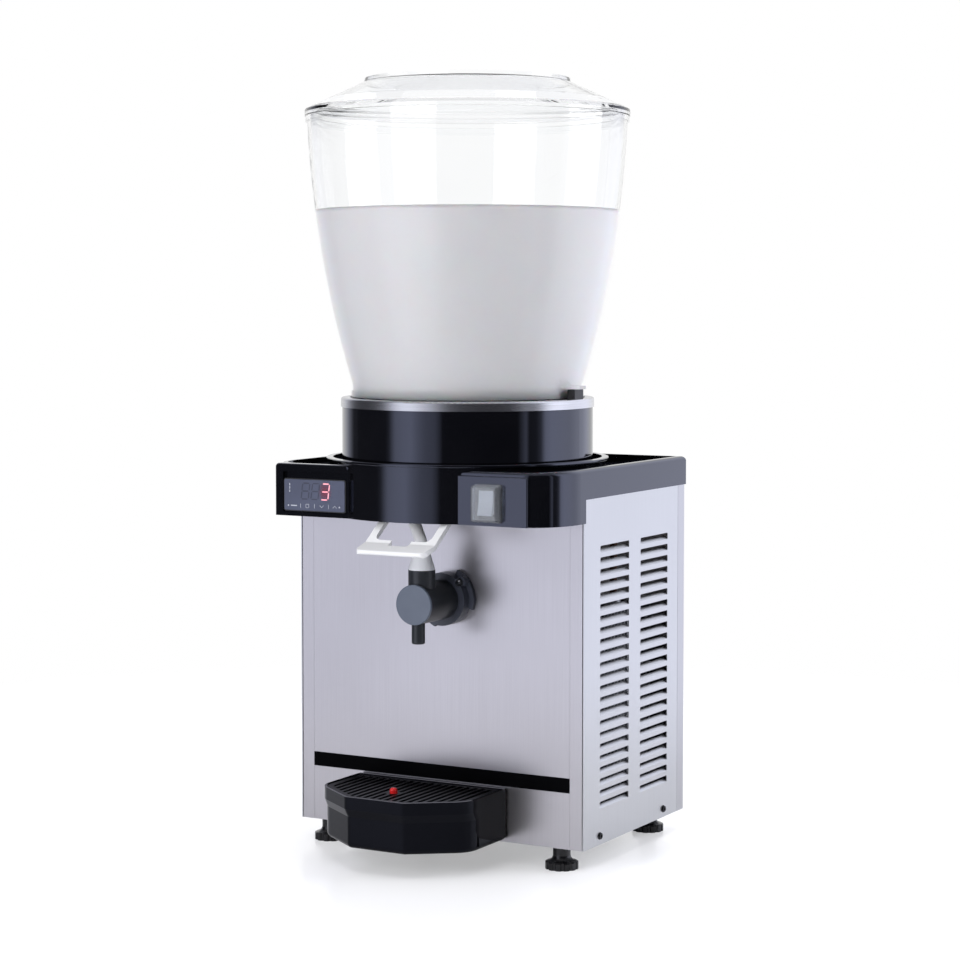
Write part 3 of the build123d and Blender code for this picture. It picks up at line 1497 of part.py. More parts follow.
with BuildPart() as refrigerant_pipes:
    for radius, bend, points in lines:
        with BuildLine() as run:
            FilletPolyline(*points, radius=bend)
        with BuildSketch(Plane(origin=run.wires()[0] @ 0, z_dir=run.wires()[0] % 0)):
            Circle(radius)
        sweep(path=run.wires()[0])
refrigerant_pipes.part.label = "refrigerant_pipes"
export_step(refrigerant_pipes.part, "parts/refrigerant_pipes.step")

# Terminal box on the pan
terminal_y = pan_front + post_depth + terminal_gap + terminal_depth / 2
with BuildPart() as terminal_box:
    with BuildSketch(Plane.XY.offset(pan_floor)):
        with Locations((compressor_x - stub_spread / 2, terminal_y)):
            Rectangle(terminal_width, terminal_depth)
    extrude(amount=terminal_height)
    fillet(terminal_box.edges().filter_by(Axis.Z), 3)
terminal_box.part.label = "terminal_box"
export_step(terminal_box.part, "parts/terminal_box.step")

# Inlet bush for the mains lead, flush with the rear panel
with BuildPart() as cable_gland:
    with BuildSketch(Plane.XZ.offset(-rear_depth)):
        with Locations((gland_x, pan_floor + gland_rise)):
            Circle(gland_radius)
    extrude(amount=gland_length)
    with BuildSketch(Plane.XZ.offset(-rear_depth + sheet)):
        with Locations((gland_x, pan_floor + gland_rise)):
            Circle(gland_radius * 1.5)
    extrude(amount=3)
    with BuildSketch(Plane.XZ.offset(-rear_depth)):
        with Locations((gland_x, pan_floor + gland_rise)):
            Circle(gland_bore)
    extrude(amount=gland_length, mode=Mode.SUBTRACT)
cable_gland.part.label = "cable_gland"
export_step(cable_gland.part, "parts/cable_gland.step")
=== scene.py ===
"""Looks, light and camera for the ayran dispenser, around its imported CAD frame."""
import math

import bmesh
import bpy
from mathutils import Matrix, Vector


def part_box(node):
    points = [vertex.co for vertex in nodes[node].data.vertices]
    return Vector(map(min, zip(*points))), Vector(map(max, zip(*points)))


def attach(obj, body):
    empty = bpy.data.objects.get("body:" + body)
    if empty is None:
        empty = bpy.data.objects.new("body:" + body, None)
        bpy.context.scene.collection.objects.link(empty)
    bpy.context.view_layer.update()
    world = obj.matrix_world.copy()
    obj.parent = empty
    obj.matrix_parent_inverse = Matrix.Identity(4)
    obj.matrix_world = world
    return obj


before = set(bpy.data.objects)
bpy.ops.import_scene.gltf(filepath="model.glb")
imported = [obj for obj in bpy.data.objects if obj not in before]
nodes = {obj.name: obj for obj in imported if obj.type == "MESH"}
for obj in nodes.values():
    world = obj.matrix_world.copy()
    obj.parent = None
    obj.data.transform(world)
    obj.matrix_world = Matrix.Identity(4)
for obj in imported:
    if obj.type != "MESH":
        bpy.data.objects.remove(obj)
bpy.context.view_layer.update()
scene = bpy.context.scene
MM = 0.001

# Ranges of a noise: the middle one holds most of its values, the wide one nearly all
noise_middle = (0.3, 0.7)
noise_wide = (0.1, 0.9)


class Material:
    """Shorthand for building one procedural material."""

    def __init__(self, name):
        self.mat = bpy.data.materials.new(name)
        self.mat.use_nodes = True
        self.tree = self.mat.node_tree
        self.bsdf = self.tree.nodes["Principled BSDF"]
        self.coord = self.tree.nodes.new("ShaderNodeTexCoord")

    def link(self, out, into):
        self.tree.links.new(out, into)

    def put(self, **values):
        """Sets constants on the shader's own sockets."""
        for key, value in values.items():
            self.bsdf.inputs[key.replace("_", " ")].default_value = value

    def mapped(self, scale):
        """The piece's own coordinates, multiplied."""
        node = self.tree.nodes.new("ShaderNodeMapping")
        node.inputs["Scale"].default_value = scale
        self.link(self.coord.outputs["Object"], node.inputs["Vector"])
        return node.outputs["Vector"]

    def noise(self, scale, detail=3.0, stretch=(1, 1, 1), rough=0.5):
        node = self.tree.nodes.new("ShaderNodeTexNoise")
        node.inputs["Scale"].default_value = scale
        node.inputs["Detail"].default_value = detail
        node.inputs["Roughness"].default_value = rough
        self.link(self.mapped(stretch), node.inputs["Vector"])
        return node.outputs["Fac"]

    def ramp(self, fac, dark, light):
        """Colour that goes from dark to light over the middle of a noise."""
        node = self.tree.nodes.new("ShaderNodeValToRGB")
        for element, at, colour in zip(node.color_ramp.elements, noise_middle, (dark, light)):
            element.position = at
            element.color = (*colour, 1)
        self.link(fac, node.inputs["Fac"])
        return node.outputs["Color"]

    def span(self, fac, source, target):
        """Maps one range of values onto another."""
        node = self.tree.nodes.new("ShaderNodeMapRange")
        ends = {"From Min": source[0], "From Max": source[1], "To Min": target[0], "To Max": target[1]}
        for socket, value in ends.items():
            node.inputs[socket].default_value = value
        self.link(fac, node.inputs["Value"])
        return node.outputs["Result"]

    def feed(self, socket, fac, source, target):
        """Gives a socket of the shader values that are mapped from another range."""
        self.link(self.span(fac, source, target), self.bsdf.inputs[socket])

    def colour(self, fac, dark, light):
        self.link(self.ramp(fac, dark, light), self.bsdf.inputs["Base Color"])

    def rough(self, fac, low, high):
        self.feed("Roughness", fac, noise_wide, (low, high))

    def clouded(self, cloud, dark, light, low, high):
        """Colour and roughness that vary together."""
        self.colour(cloud, dark, light)
        self.rough(cloud, low, high)

    def bump(self, height, distance, strength=1.0):
        node = self.tree.nodes.new("ShaderNodeBump")
        node.inputs["Strength"].default_value = strength
        node.inputs["Distance"].default_value = distance
        self.link(height, node.inputs["Height"])
        self.link(node.outputs["Normal"], self.bsdf.inputs["Normal"])


# Kinds of material: each takes a dark and a light colour, and a low and a high roughness
mottle = 22.0  # scale of the mottling in moulded plastic

# Shading of the cover's left end, round the controller, which starts just outside the cover's edge
surround_left = -180 * MM
surround_width = 122 * MM
surround_bow = 0.19  # slope, about 11 degrees


def brushed(name, dark, light, low, high, grain):
    """Brushed stainless sheet: fine long streaks and slow cloudy variation."""
    m = Material(name)
    streak = m.noise(1.0, detail=4.0, stretch=grain, rough=0.65)
    cloud = m.noise(7.0, detail=2.0)
    m.put(Metallic=1.0, Anisotropic=0.45)
    m.colour(streak, dark, light)
    m.rough(cloud, low, high)
    m.bump(streak, distance=0.04 * MM, strength=0.5)
    return m.mat


def plastic(name, dark, light, low, high, grain=900.0, depth=0.02 * MM, **extra):
    """Moulded plastic: slight mottling, uneven gloss and a fine skin."""
    m = Material(name)
    m.put(**extra)
    m.clouded(m.noise(mottle), dark, light, low, high)
    m.bump(m.noise(grain, detail=2.0), depth, strength=0.4)
    return m.mat


def moulded_cover(name, dark, light, low, high, **extra):
    """Glossy moulding whose left end, round the controller, is shaded as if it bowed outwards."""
    m = Material(name)
    m.put(**extra)
    m.clouded(m.noise(mottle), dark, light, low, high)
    along = m.tree.nodes.new("ShaderNodeSeparateXYZ")
    m.link(m.coord.outputs["Object"], along.inputs["Vector"])
    surround = (surround_left, surround_left + surround_width)
    height = m.span(along.outputs["X"], surround, (0.0, surround_bow * surround_width))
    m.bump(height, distance=1.0)  # the height is in metres already
    return m.mat


def metal(name, dark, light, low, high, scale=60.0):
    """Plain metal with small marks."""
    m = Material(name)
    cloud = m.noise(scale, detail=5.0, rough=0.65)
    m.put(Metallic=1.0)
    m.clouded(cloud, dark, light, low, high)
    m.bump(cloud, distance=0.03 * MM, strength=0.4)
    return m.mat


def clear_plastic(name, dark, light, low, high, clarity=1.0):
    """Clear moulded plastic with faint flow marks."""
    m = Material(name)
    m.put(Transmission_Weight=clarity, IOR=1.3)
    m.clouded(m.noise(9.0, detail=2.0), dark, light, low, high)
    m.bump(m.noise(14.0, detail=1.0), distance=0.2 * MM, strength=0.15)
    return m.mat


# Stretch of the brushed streaks: upright on the sheets, around the chilled base
upright = (1500, 1500, 9)
around = (14, 14, 2600)

# Glossy black that the collar and the cover share, and the cool tint of its reflections
cool_tint = (0.74, 0.79, 1.0, 1)
gloss = ((0.002, 0.002, 0.0028), (0.0035, 0.0035, 0.0045), 0.05, 0.09)
gloss_shine = {"Specular_IOR_Level": 0.95, "Specular_Tint": cool_tint}

# One stainless steel in three tones of painted light and shade: the sides lighter, the front darker, the
# rear darkest
steel_front_painted_shade = brushed("steel_front_painted_shade", (0.54, 0.52, 0.53), (0.59, 0.57, 0.58), 0.27, 0.34, upright)
steel_side_painted_light = brushed("steel_side_painted_light", (0.565, 0.568, 0.57), (0.605, 0.608, 0.61), 0.27, 0.34, upright)
steel_rear_painted_shade = brushed("steel_rear_painted_shade", (0.5, 0.495, 0.505), (0.55, 0.545, 0.555), 0.27, 0.34, upright)
steel_base = brushed("steel_base", (0.56, 0.56, 0.57), (0.67, 0.67, 0.68), 0.2, 0.3, around)
galvanised = metal("galvanised", (0.42, 0.43, 0.45), (0.6, 0.61, 0.63), 0.35, 0.55, scale=120.0)
bright_steel = metal("bright_steel", (0.66, 0.66, 0.68), (0.8, 0.8, 0.82), 0.12, 0.25)
dark_steel = metal("dark_steel", (0.02, 0.02, 0.022), (0.05, 0.05, 0.055), 0.3, 0.45)
copper = metal("copper", (0.62, 0.3, 0.18), (0.78, 0.45, 0.3), 0.22, 0.4)
dull_copper = metal("dull_copper", (0.1, 0.055, 0.04), (0.2, 0.11, 0.08), 0.4, 0.6)
aluminium = metal("aluminium", (0.66, 0.67, 0.69), (0.8, 0.81, 0.83), 0.3, 0.45)
gloss_black = plastic("gloss_black", *gloss, grain=500.0, depth=0.01 * MM, **gloss_shine)
cover_black = moulded_cover("cover_black", *gloss, **gloss_shine)
tray_black = plastic("tray_black", (0.001, 0.001, 0.0016), (0.002, 0.002, 0.003), 0.03, 0.06,
                     grain=700.0, depth=0.005 * MM, Specular_IOR_Level=0.14, Specular_Tint=cool_tint)
foot_black = plastic("foot_black", (0.003, 0.003, 0.0035), (0.006, 0.006, 0.007), 0.14, 0.24, grain=700.0)
grille_black = plastic("grille_black", (0.002, 0.002, 0.0026), (0.004, 0.004, 0.005), 0.28, 0.42,
                       Specular_IOR_Level=0.12)
strip_black = plastic("strip_black", (0.0009, 0.0009, 0.0012), (0.0018, 0.0018, 0.0022), 0.35, 0.45,
                      grain=1500.0, depth=0.01 * MM, Specular_IOR_Level=0.02)
matte_black = plastic("matte_black", (0.012, 0.012, 0.013), (0.024, 0.024, 0.026), 0.4, 0.55)
painted_black = plastic("painted_black", (0.012, 0.012, 0.013), (0.02, 0.02, 0.022), 0.25, 0.4)
rubber = plastic("rubber", (0.01, 0.01, 0.01), (0.02, 0.02, 0.02), 0.6, 0.8)
slate = plastic("slate", (0.016, 0.018, 0.022), (0.026, 0.029, 0.034), 0.3, 0.42)
slate_mount = plastic("slate_mount", (0.045, 0.05, 0.068), (0.06, 0.066, 0.09), 0.3, 0.42)
slate_grey = plastic("slate_grey", (0.09, 0.108, 0.145), (0.115, 0.135, 0.175), 0.3, 0.42)
lever_white = plastic("lever_white", (0.9, 0.9, 0.9), (0.95, 0.95, 0.95), 0.12, 0.22)
rocker_grey = plastic("rocker_grey", (0.4, 0.415, 0.44), (0.5, 0.515, 0.54), 0.12, 0.2)
display_face = plastic("display_face", (0.05, 0.058, 0.098), (0.068, 0.078, 0.128), 0.1, 0.2)
float_red = plastic("float_red", (0.55, 0.01, 0.012), (0.75, 0.025, 0.025), 0.15, 0.25)
milky = plastic("milky", (0.88, 0.89, 0.92), (0.93, 0.94, 0.96), 0.22, 0.34,
                Transmission_Weight=0.12, IOR=1.4)
silicone = plastic("silicone", (0.86, 0.87, 0.88), (0.93, 0.93, 0.94), 0.3, 0.42,
                   Transmission_Weight=0.2, IOR=1.4)
clear = clear_plastic("clear", (0.985, 0.99, 0.993), (0.995, 0.998, 1.0), 0.0, 0.02)
splash_clear = clear_plastic("splash_clear", (0.83, 0.86, 0.9), (0.89, 0.92, 0.96), 0.02, 0.06,
                             clarity=0.86)

looks = {
    steel_front_painted_shade: ("front_panel", "front_post_left", "front_post_right"),
    steel_side_painted_light: ("left_side_panel", "right_side_panel"),
    steel_rear_painted_shade: ("rear_panel",),
    steel_base: ("evaporator_base",),
    galvanised: ("base_pan", "tray_bracket", "lever_bracket", "terminal_box"),
    bright_steel: ("mount_screws", "foot_nuts", "lever_pin", "lever_spring", "agitator_shaft",
                   "outlet_pipe"),
    dark_steel: ("panel_screws",),
    copper: ("evaporator_coil", "filter_drier"),
    dull_copper: ("refrigerant_pipes",),
    aluminium: ("condenser",),
    gloss_black: ("bowl_collar",),
    cover_black: ("top_cover",),
    tray_black: ("drip_tray",),
    grille_black: ("drip_grille",),
    strip_black: ("front_strip",),
    foot_black: ("foot_front_left", "foot_front_right", "foot_rear_left", "foot_rear_right"),
    matte_black: ("switch_body", "thermostat_body", "bowl_stops", "fan_shroud", "fan_blade",
                  "cable_gland"),
    painted_black: ("compressor", "gear_motor", "whipper_motor", "fan_motor"),
    rubber: ("bowl_gasket", "shaft_seal", "compressor_grommets"),
    slate: ("whipper_chamber", "whipper_wheel"),
    slate_mount: ("whipper_mount",),
    slate_grey: ("whipper_cap",),
    lever_white: ("lever",),
    rocker_grey: ("switch_rocker",),
    display_face: ("thermostat_face",),
    float_red: ("drip_float",),
    milky: ("inlet_funnel", "agitator"),
    silicone: ("pinch_tube",),
    clear: ("bowl", "lid"),
    splash_clear: ("switch_cover",),
}
for mat, names in looks.items():
    for name in names:
        mesh = nodes[name].data
        mesh.materials.clear()
        mesh.materials.append(mat)


# Helpers for the added pieces
def add_object(name, data):
    """Puts a new object into the scene."""
    obj = bpy.data.objects.new(name, data)
    scene.collection.objects.link(obj)
    return obj


def piece(name, bm, mat, body, smooth=True):
    """Turns a bmesh into a piece of the object."""
    mesh = bpy.data.meshes.new(name)
    bm.normal_update()
    bm.to_mesh(mesh)
    bm.free()
    for face in mesh.polygons:
        face.use_smooth = smooth
    obj = add_object(name, mesh)
    mesh.materials.append(mat)
    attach(obj, body)


def turned(profile, steps=160):
    """Closed solid of revolution about Z from (radius, height) points that start and end on the axis."""
    bm = bmesh.new()
    rings = []
    for radius, height in profile:
        if radius == 0:
            rings.append([bm.verts.new((0, 0, height))])
            continue
        angles = [2 * math.pi * i / steps for i in range(steps)]
        rings.append([bm.verts.new((radius * math.cos(a), radius * math.sin(a), height)) for a in angles])
    for low, high in zip(rings, rings[1:]):
        for i in range(steps):
            j = (i + 1) % steps
            corners = [low[i % len(low)], low[j % len(low)], high[j % len(high)], high[i % len(high)]]
            unique = list(dict.fromkeys(corners))
            bm.faces.new(unique)
    bmesh.ops.recalc_face_normals(bm, faces=bm.faces)
    return bm


def arc_radius(height, low, mid, high):
    """Radius at a height on the circle through three (radius, height) points."""
    ax, ay = low
    bx, by = mid
    cx, cy = high
    a_square = ax * ax + ay * ay
    b_square = bx * bx + by * by
    c_square = cx * cx + cy * cy
    cross = 2 * (ax * (by - cy) + bx * (cy - ay) + cx * (ay - by))
    middle_x = (a_square * (by - cy) + b_square * (cy - ay) + c_square * (ay - by)) / cross
    middle_y = (a_square * (cx - bx) + b_square * (ax - cx) + c_square * (bx - ax)) / cross
    radius = math.hypot(ax - middle_x, ay - middle_y)
    return middle_x + math.sqrt(radius * radius - (height - middle_y) ** 2)


# Inside of the bowl: heights start from the frame, the other sizes are those of the part's source
bowl_low, bowl_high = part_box("bowl")
base_sink = 2.5 * MM
bowl_wall = 3.2 * MM
bowl_waist = 121.2 * MM
bowl_waist_rise = 13 * MM
bowl_mouth = 168 * MM
bowl_lip_height = 5 * MM
bowl_bow = 8.6 * MM
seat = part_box("evaporator_base")[1][2] - base_sink
bore = bowl_waist - bowl_wall
waist = bowl_low[2] + bowl_waist_rise
mouth = bowl_mouth - bowl_wall
lip = bowl_high[2] - bowl_lip_height
bow = ((bore + mouth) / 2 + bowl_bow, (waist + lip) / 2)

# The drink: it reaches a film's depth into the wall, so that no gap shows, and rises at its edge
drink_mat = plastic("drink", (0.932, 0.918, 0.92), (0.947, 0.935, 0.937), 0.28, 0.36, grain=300.0,
                    Subsurface_Weight=0.15, Subsurface_Scale=0.01)
drink_depth = 199 * MM
level = seat + drink_depth
film = 0.2 * MM
gasket_reach = 5 * MM  # how far the drink stays inside the bore at the gasket
wall_steps = 40
edge_width = 4 * MM
edge_rise = 1.2 * MM
edge_turn_in = 1.2 * MM
edge_turn_drop = 0.8 * MM


def drink():
    """The drink fills the bowl from the chilled base up to its level, in contact with the wall."""
    climb = [waist + (level - waist) * i / wall_steps for i in range(wall_steps + 1)]
    wet = [arc_radius(z, (bore, waist), bow, (mouth, lip)) + film for z in climb]
    brim = wet[-1]
    profile = [(0, seat + film), (bore - gasket_reach, seat + film)]
    profile += [(bore - gasket_reach, bowl_low[2] + film), (bore + film, bowl_low[2] + film)]
    profile += list(zip(wet, climb))
    profile += [(brim - edge_turn_in, level - edge_turn_drop)]
    profile += [(brim - edge_width, level - edge_rise), (0, level - edge_rise)]
    piece("drink", turned(profile), drink_mat, "bowl")


drink()

# Controller's face: figures and small marks, in millimetres from its upper left corner
face_low, face_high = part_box("thermostat_face")
mark_lift = 0.05
mark_thick = 0.08
figure_height = 16.5
figure_width = 8.8
figure_bar = 1.35
figure_gap = 0.6  # left free at each end of a bar
figure_lean = 0.13
figure_top = 3.6
figure_left = 20.6
figure_step = 12.1
figure_rows = {"a": 0.0, "g": 0.5, "d": 1.0}
figure_sides = {"f": (0, 0.0), "b": (1, 0.0), "e": (0, 0.5), "c": (1, 0.5)}
all_segments = "abcdefg"
lit_place = 2
lit_segments = "abcdg"


def lamp_mat(name, dark, light, strength):
    """Glowing segments behind tinted plastic, a little uneven along their length."""
    m = Material(name)
    cloud = m.noise(600.0, detail=2.0)
    m.colour(cloud, dark, light)
    m.link(m.ramp(cloud, dark, light), m.bsdf.inputs["Emission Color"])
    m.put(Emission_Strength=strength, Roughness=0.3)
    return m.mat


def bloom_mat(name, dark, light, glow, strength):
    """Glow that fades out from the middle of its UV square."""
    m = Material(name)
    spread = m.tree.nodes.new("ShaderNodeTexGradient")
    spread.gradient_type = "SPHERICAL"
    m.link(m.coord.outputs["UV"], spread.inputs["Vector"])
    m.feed("Alpha", spread.outputs["Fac"], (0.0, 0.8), (0.0, 0.4))
    m.colour(m.noise(200.0), dark, light)
    m.put(Emission_Color=glow, Emission_Strength=strength, Roughness=0.3)
    return m.mat


lit_red = lamp_mat("lit_red", (0.72, 0.24, 0.3), (0.85, 0.4, 0.45), 0.6)
halo_red = bloom_mat("halo_red", (0.2, 0.0, 0.01), (0.3, 0.005, 0.02), (0.4, 0.01, 0.04, 1), 0.25)
unlit = plastic("unlit", (0.03, 0.034, 0.058), (0.04, 0.045, 0.075), 0.2, 0.3)
print_grey = plastic("print_grey", (0.42, 0.44, 0.5), (0.52, 0.54, 0.6), 0.3, 0.4)


def on_face(across, down, out):
    """Place in the scene of a point of the face, a distance in front of it."""
    return (face_low[0] + across * MM, face_low[1] - out * MM, face_high[2] - down * MM)


def printed(name, shapes, mat):
    """Thin raised flats on the controller's face."""
    bm = bmesh.new()
    for shape in shapes:
        back = [bm.verts.new(on_face(p.x, p.y, mark_lift)) for p in shape]
        front = [bm.verts.new(on_face(p.x, p.y, mark_lift + mark_thick)) for p in shape]
        count = len(shape)
        bm.faces.new(back)
        bm.faces.new(front)
        for i in range(count):
            j = (i + 1) % count
            bm.faces.new((back[i], back[j], front[j], front[i]))
    bmesh.ops.recalc_face_normals(bm, faces=bm.faces)
    piece(name, bm, mat, "cabinet", smooth=False)


def bar(start, end, width, pointed=False):
    """Flat bar between two points of the face, with square or pointed ends."""
    start = Vector(start)
    end = Vector(end)
    along = (end - start).normalized()
    across = Vector((-along.y, along.x)) * width / 2
    if not pointed:
        return [start + across, end + across, end - across, start - across]
    tip = along * width / 2
    return [start + tip + across, end - tip + across, end, end - tip - across, start + tip - across, start]


def figure(place, segments):
    """Leaning bars of a seven-segment figure; places count from the left."""
    left = figure_left + place * figure_step
    shapes = []
    for name in segments:
        if name in figure_rows:
            down = figure_top + figure_height * figure_rows[name]
            start = (left + figure_gap, down)
            end = (left + figure_width - figure_gap, down)
        else:
            side, part = figure_sides[name]
            down = figure_top + figure_height * part
            along = left + figure_width * side
            start = (along, down + figure_gap)
            end = (along, down + figure_height / 2 - figure_gap)
        shapes.append(bar(start, end, figure_bar, pointed=True))
    foot = figure_top + figure_height
    return [[Vector((p.x + (foot - p.y) * figure_lean, p.y)) for p in shape] for shape in shapes]


printed("display_lit", figure(lit_place, lit_segments), lit_red)
printed("display_unlit", figure(0, all_segments) + figure(1, all_segments), unlit)

# Small generic marks: a row of key marks under the figures, and a column of short bars beside them
key_row = 27.2
thin_line = 0.45
rule_places = (20.0, 37.2, 54.4)
rule_half = 2.2
square_left = 26.6
square_size = 3.6
square_line = 0.4
arrow_size = 2.4
down_arrow = 46.0
up_arrow = 62.0
dot_places = (67.8, 5.0)
dot_radius = 0.9
dot_sides = 12
dash_left = 8.0
dash_right = 15.5
dash_line = 1.1
column_left = 6.6
column_top = 4.2
column_step = 3.4
column_count = 3
column_bar = 2.4
column_line = 1.0


def dot(across, down):
    """Small round mark."""
    angles = [2 * math.pi * i / dot_sides for i in range(dot_sides)]
    return [Vector((across + dot_radius * math.cos(a), down + dot_radius * math.sin(a))) for a in angles]


def square(left, top):
    """Outline of a small square."""
    right = left + square_size
    low = top + square_size
    corners = [(left, top), (right, top), (right, low), (left, low)]
    return [bar(corners[i], corners[(i + 1) % 4], square_line) for i in range(4)]


def chevron(middle, size):
    """Small arrow head in the row of keys; a positive size points down."""
    tip = key_row + size / 2
    half = abs(size)
    ends = [(middle - half, tip - size), (middle, tip), (middle + half, tip - size)]
    return [bar(ends[0], ends[1], thin_line), bar(ends[1], ends[2], thin_line)]


marks = [bar((x, key_row - rule_half), (x, key_row + rule_half), thin_line) for x in rule_places]
marks += square(square_left, key_row - square_size / 2)
marks += chevron(down_arrow, arrow_size) + chevron(up_arrow, -arrow_size)
marks += [dot(x, key_row) for x in dot_places]
marks += [bar((dash_left, key_row), (dash_right, key_row), dash_line)]
for i in range(column_count):
    start = column_top + column_step * i
    marks.append(bar((column_left, start), (column_left, start + column_bar), column_line))
printed("display_marks", marks, print_grey)

# Faint red bloom round the lit figure
bloom_lift = 0.02
bloom_shift = 1.0  # to the right, with the figure's lean
bloom_reach = (8.5, 11.0)


def bloom():
    """One flat rectangle just in front of the face, with its UV map centred on its middle."""
    bm = bmesh.new()
    uv = bm.loops.layers.uv.new("UVMap")
    across = figure_left + lit_place * figure_step + figure_width / 2 + bloom_shift
    down = figure_top + figure_height / 2
    corners = ((-1, -1), (1, -1), (1, 1), (-1, 1))
    places = [(across + x * bloom_reach[0], down + y * bloom_reach[1]) for x, y in corners]
    face = bm.faces.new([bm.verts.new(on_face(*place, bloom_lift)) for place in places])
    for loop, corner in zip(face.loops, corners):
        loop[uv].uv = corner
    piece("display_glow", bm, halo_red, "cabinet", smooth=False)


bloom()

# Camera
view_yaw = math.radians(29.336)
view_pitch = math.radians(3.152)
camera_place = (1.2669, -2.2275, 0.5802)
camera_data = bpy.data.cameras.new("camera")
camera_data.lens = 91.03
camera_data.sensor_width = 36.0
camera_data.shift_y = -0.05
camera = add_object("camera", camera_data)
camera.location = camera_place
camera.rotation_euler = (math.pi / 2 - view_pitch, 0, view_yaw)
scene.camera = camera
scene.view_settings.view_transform = "Standard"


# Light
def area(name, at, aim, size, watts):
    """Soft box that lights the object and isn't mirrored in it."""
    data = bpy.data.lights.new(name, "AREA")
    data.shape = "RECTANGLE"
    data.size, data.size_y = size
    data.energy = watts
    lamp = add_object(name, data)
    lamp.location = at
    lamp.rotation_euler = (Vector(aim) - Vector(at)).to_track_quat("-Z", "Y").to_euler()
    lamp.visible_glossy = False


area("front_box", at=(-0.4, -2.6, 0.9), aim=(0, 0, 0.45), size=(1.6, 2.2), watts=44)
area("right_box", at=(2.2, 1.4, 1.0), aim=(0, 0, 0.45), size=(1.6, 2.2), watts=42)
area("top_box", at=(0.0, -0.3, 2.6), aim=(0, 0, 0.3), size=(1.8, 1.8), watts=20)

# Studio seen in reflections: brightness by compass angle, in degrees from +X towards +Y
studio_light = (
    (-180, 0.04), (-167, 0.04), (-140, 0.05), (-136, 0.18), (-129, 1.1), (-121, 1.3),
    (-113, 1.4), (-106, 1.0), (-99, 0.7), (-90, 0.56), (-86, 0.3), (-83, 0.04),
    (-14, 0.03), (-9, 0.33), (-6, 0.6), (-3, 0.07), (5, 0.1), (10, 0.33),
    (15, 1.4), (22, 1.6), (36, 1.4), (46, 1.2), (66, 1.25), (86, 1.3),
    (100, 0.85), (130, 0.55), (150, 0.95), (162, 0.55), (172, 0.07),
)
studio_peak = 1.6
studio_tint = (0.93, 0.96, 1.12)
ceiling = (0.3, 0.3, 0.32, 1)
ceiling_edge = (0.55, 0.85)  # upward part of a direction, from the ring to the ceiling
backdrop_edge = (0.75, 0.9)  # part of a direction that points away from the camera
glass_paleness = 0.7
first_bounce = 0.5  # diffuse depth that splits rays with no dull bounce from the rest

world = bpy.data.worlds.new("studio")
scene.world = world
world.use_nodes = True
tree = world.node_tree
tree.nodes.clear()


def node(kind, operation=None, **values):
    """Adds one node to the world, with its sockets set or linked by number."""
    made = tree.nodes.new("ShaderNode" + kind)
    if operation:
        made.operation = operation
    for key, value in values.items():
        socket = made.inputs[int(key[1:])]
        if isinstance(value, bpy.types.NodeSocket):
            tree.links.new(value, socket)
        else:
            socket.default_value = value
    return made


# The ring of the studio, with a plain ceiling
coord = node("TexCoord")
direction = node("SeparateXYZ", i0=coord.outputs["Generated"])
compass = node("Math", "ARCTAN2", i0=direction.outputs["Y"], i1=direction.outputs["X"])
turn = node("Math", "MULTIPLY_ADD", i0=compass.outputs[0], i1=0.5 / math.pi, i2=0.5)
band = node("ValToRGB", i0=turn.outputs[0])
while len(band.color_ramp.elements) < len(studio_light):
    band.color_ramp.elements.new(1.0)
for element, (angle, value) in zip(band.color_ramp.elements, studio_light):
    element.position = (angle + 180) / 360
    element.color = (*(value / studio_peak * tint for tint in studio_tint), 1)
overhead = node("MapRange", i0=direction.outputs["Z"], i1=ceiling_edge[0], i2=ceiling_edge[1])
sky = node("MixRGB", i0=overhead.outputs[0], i1=band.outputs["Color"], i2=ceiling)

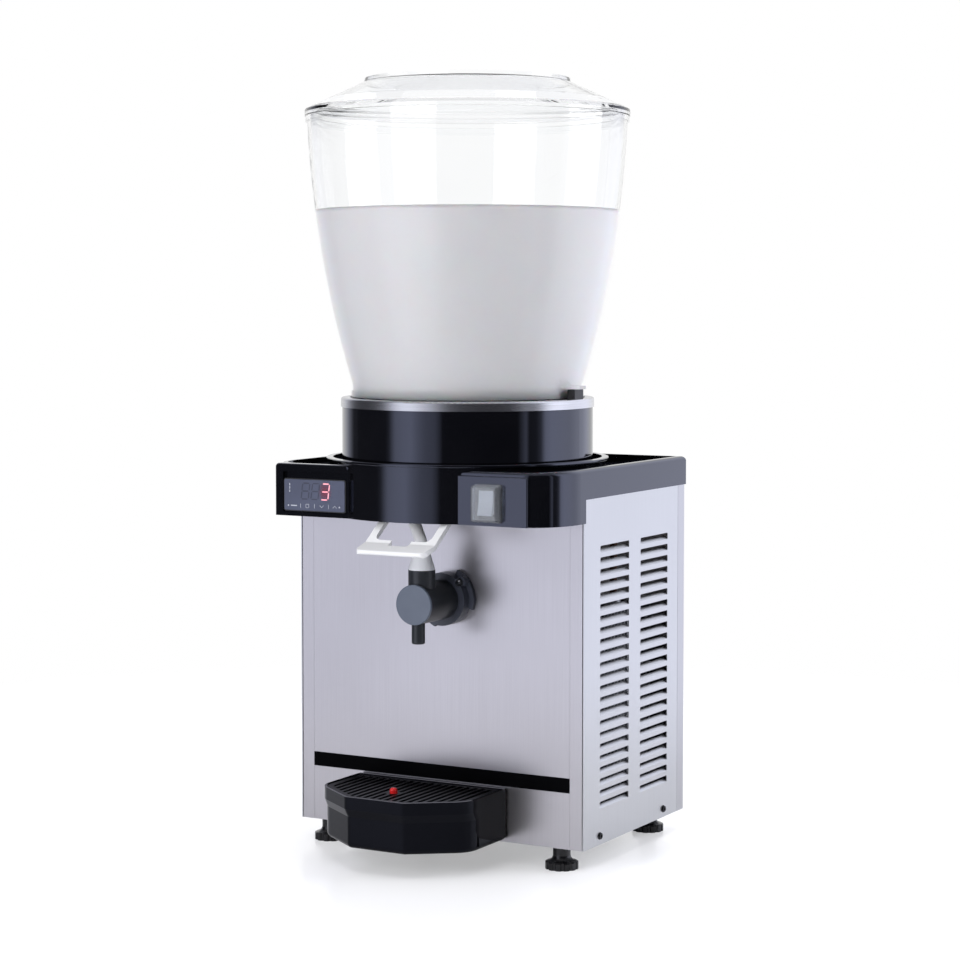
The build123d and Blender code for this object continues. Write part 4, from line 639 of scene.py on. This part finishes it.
# White for the camera and for mirrored rays that head away from it; paler through clear plastic
path = node("LightPath")
away = (-math.sin(view_yaw), math.cos(view_yaw), 0)
facing = node("VectorMath", "DOT_PRODUCT", i0=coord.outputs["Generated"], i1=away)
backdrop = node("MapRange", i0=facing.outputs["Value"], i1=backdrop_edge[0], i2=backdrop_edge[1])
clearly = node("Math", "LESS_THAN", i0=path.outputs["Diffuse Depth"], i1=first_bounce)
through = node("Math", "MULTIPLY", i0=path.outputs["Is Transmission Ray"], i1=clearly.outputs[0])
mirrored = node("Math", "MAXIMUM", i0=path.outputs["Is Glossy Ray"], i1=through.outputs[0])
behind = node("Math", "MULTIPLY", i0=mirrored.outputs[0], i1=backdrop.outputs[0])
pale = node("Math", "MULTIPLY", i0=through.outputs[0], i1=glass_paleness)
direct = node("Math", "MAXIMUM", i0=path.outputs["Is Camera Ray"], i1=pale.outputs[0])
seen = node("Math", "MAXIMUM", i0=direct.outputs[0], i1=behind.outputs[0])
strength = node("Math", "MULTIPLY_ADD", i0=through.outputs[0], i1=1 - studio_peak, i2=studio_peak)
studio = node("Background", i0=sky.outputs["Color"], i1=strength.outputs[0])
white = node("Background", i0=(1, 1, 1, 1), i1=1.0)
both = node("MixShader", i0=seen.outputs[0], i1=studio.outputs[0], i2=white.outputs[0])
node("OutputWorld", i0=both.outputs[0])

# Floor: a white sheet that keeps the shadow and fades out before the horizon
floor_half = 4.0
floor_fade = (0.5, 1.3)
floor_glow = 0.34  # light of its own, for the camera only


def floor_mat(name):
    """White sheet with a soft sheen, clear round its outside."""
    m = Material(name)
    m.colour(m.noise(3.0, detail=2.0), (0.82, 0.82, 0.83), (0.86, 0.86, 0.86))
    m.put(Roughness=0.24, Specular_IOR_Level=0.4, Emission_Color=(1, 1, 1, 1))
    ray = m.tree.nodes.new("ShaderNodeLightPath")
    m.feed("Emission Strength", ray.outputs["Is Camera Ray"], (0.0, 1.0), (0.0, floor_glow))
    reach = m.tree.nodes.new("ShaderNodeVectorMath")
    reach.operation = "LENGTH"
    m.link(m.coord.outputs["Object"], reach.inputs[0])
    m.feed("Alpha", reach.outputs["Value"], floor_fade, (1.0, 0.0))
    return m.mat


sheet = bmesh.new()
bmesh.ops.create_grid(sheet, x_segments=1, y_segments=1, size=floor_half)
floor_mesh = bpy.data.meshes.new("floor")
sheet.to_mesh(floor_mesh)
sheet.free()
floor_mesh.materials.append(floor_mat("floor"))
floor = add_object("floor", floor_mesh)
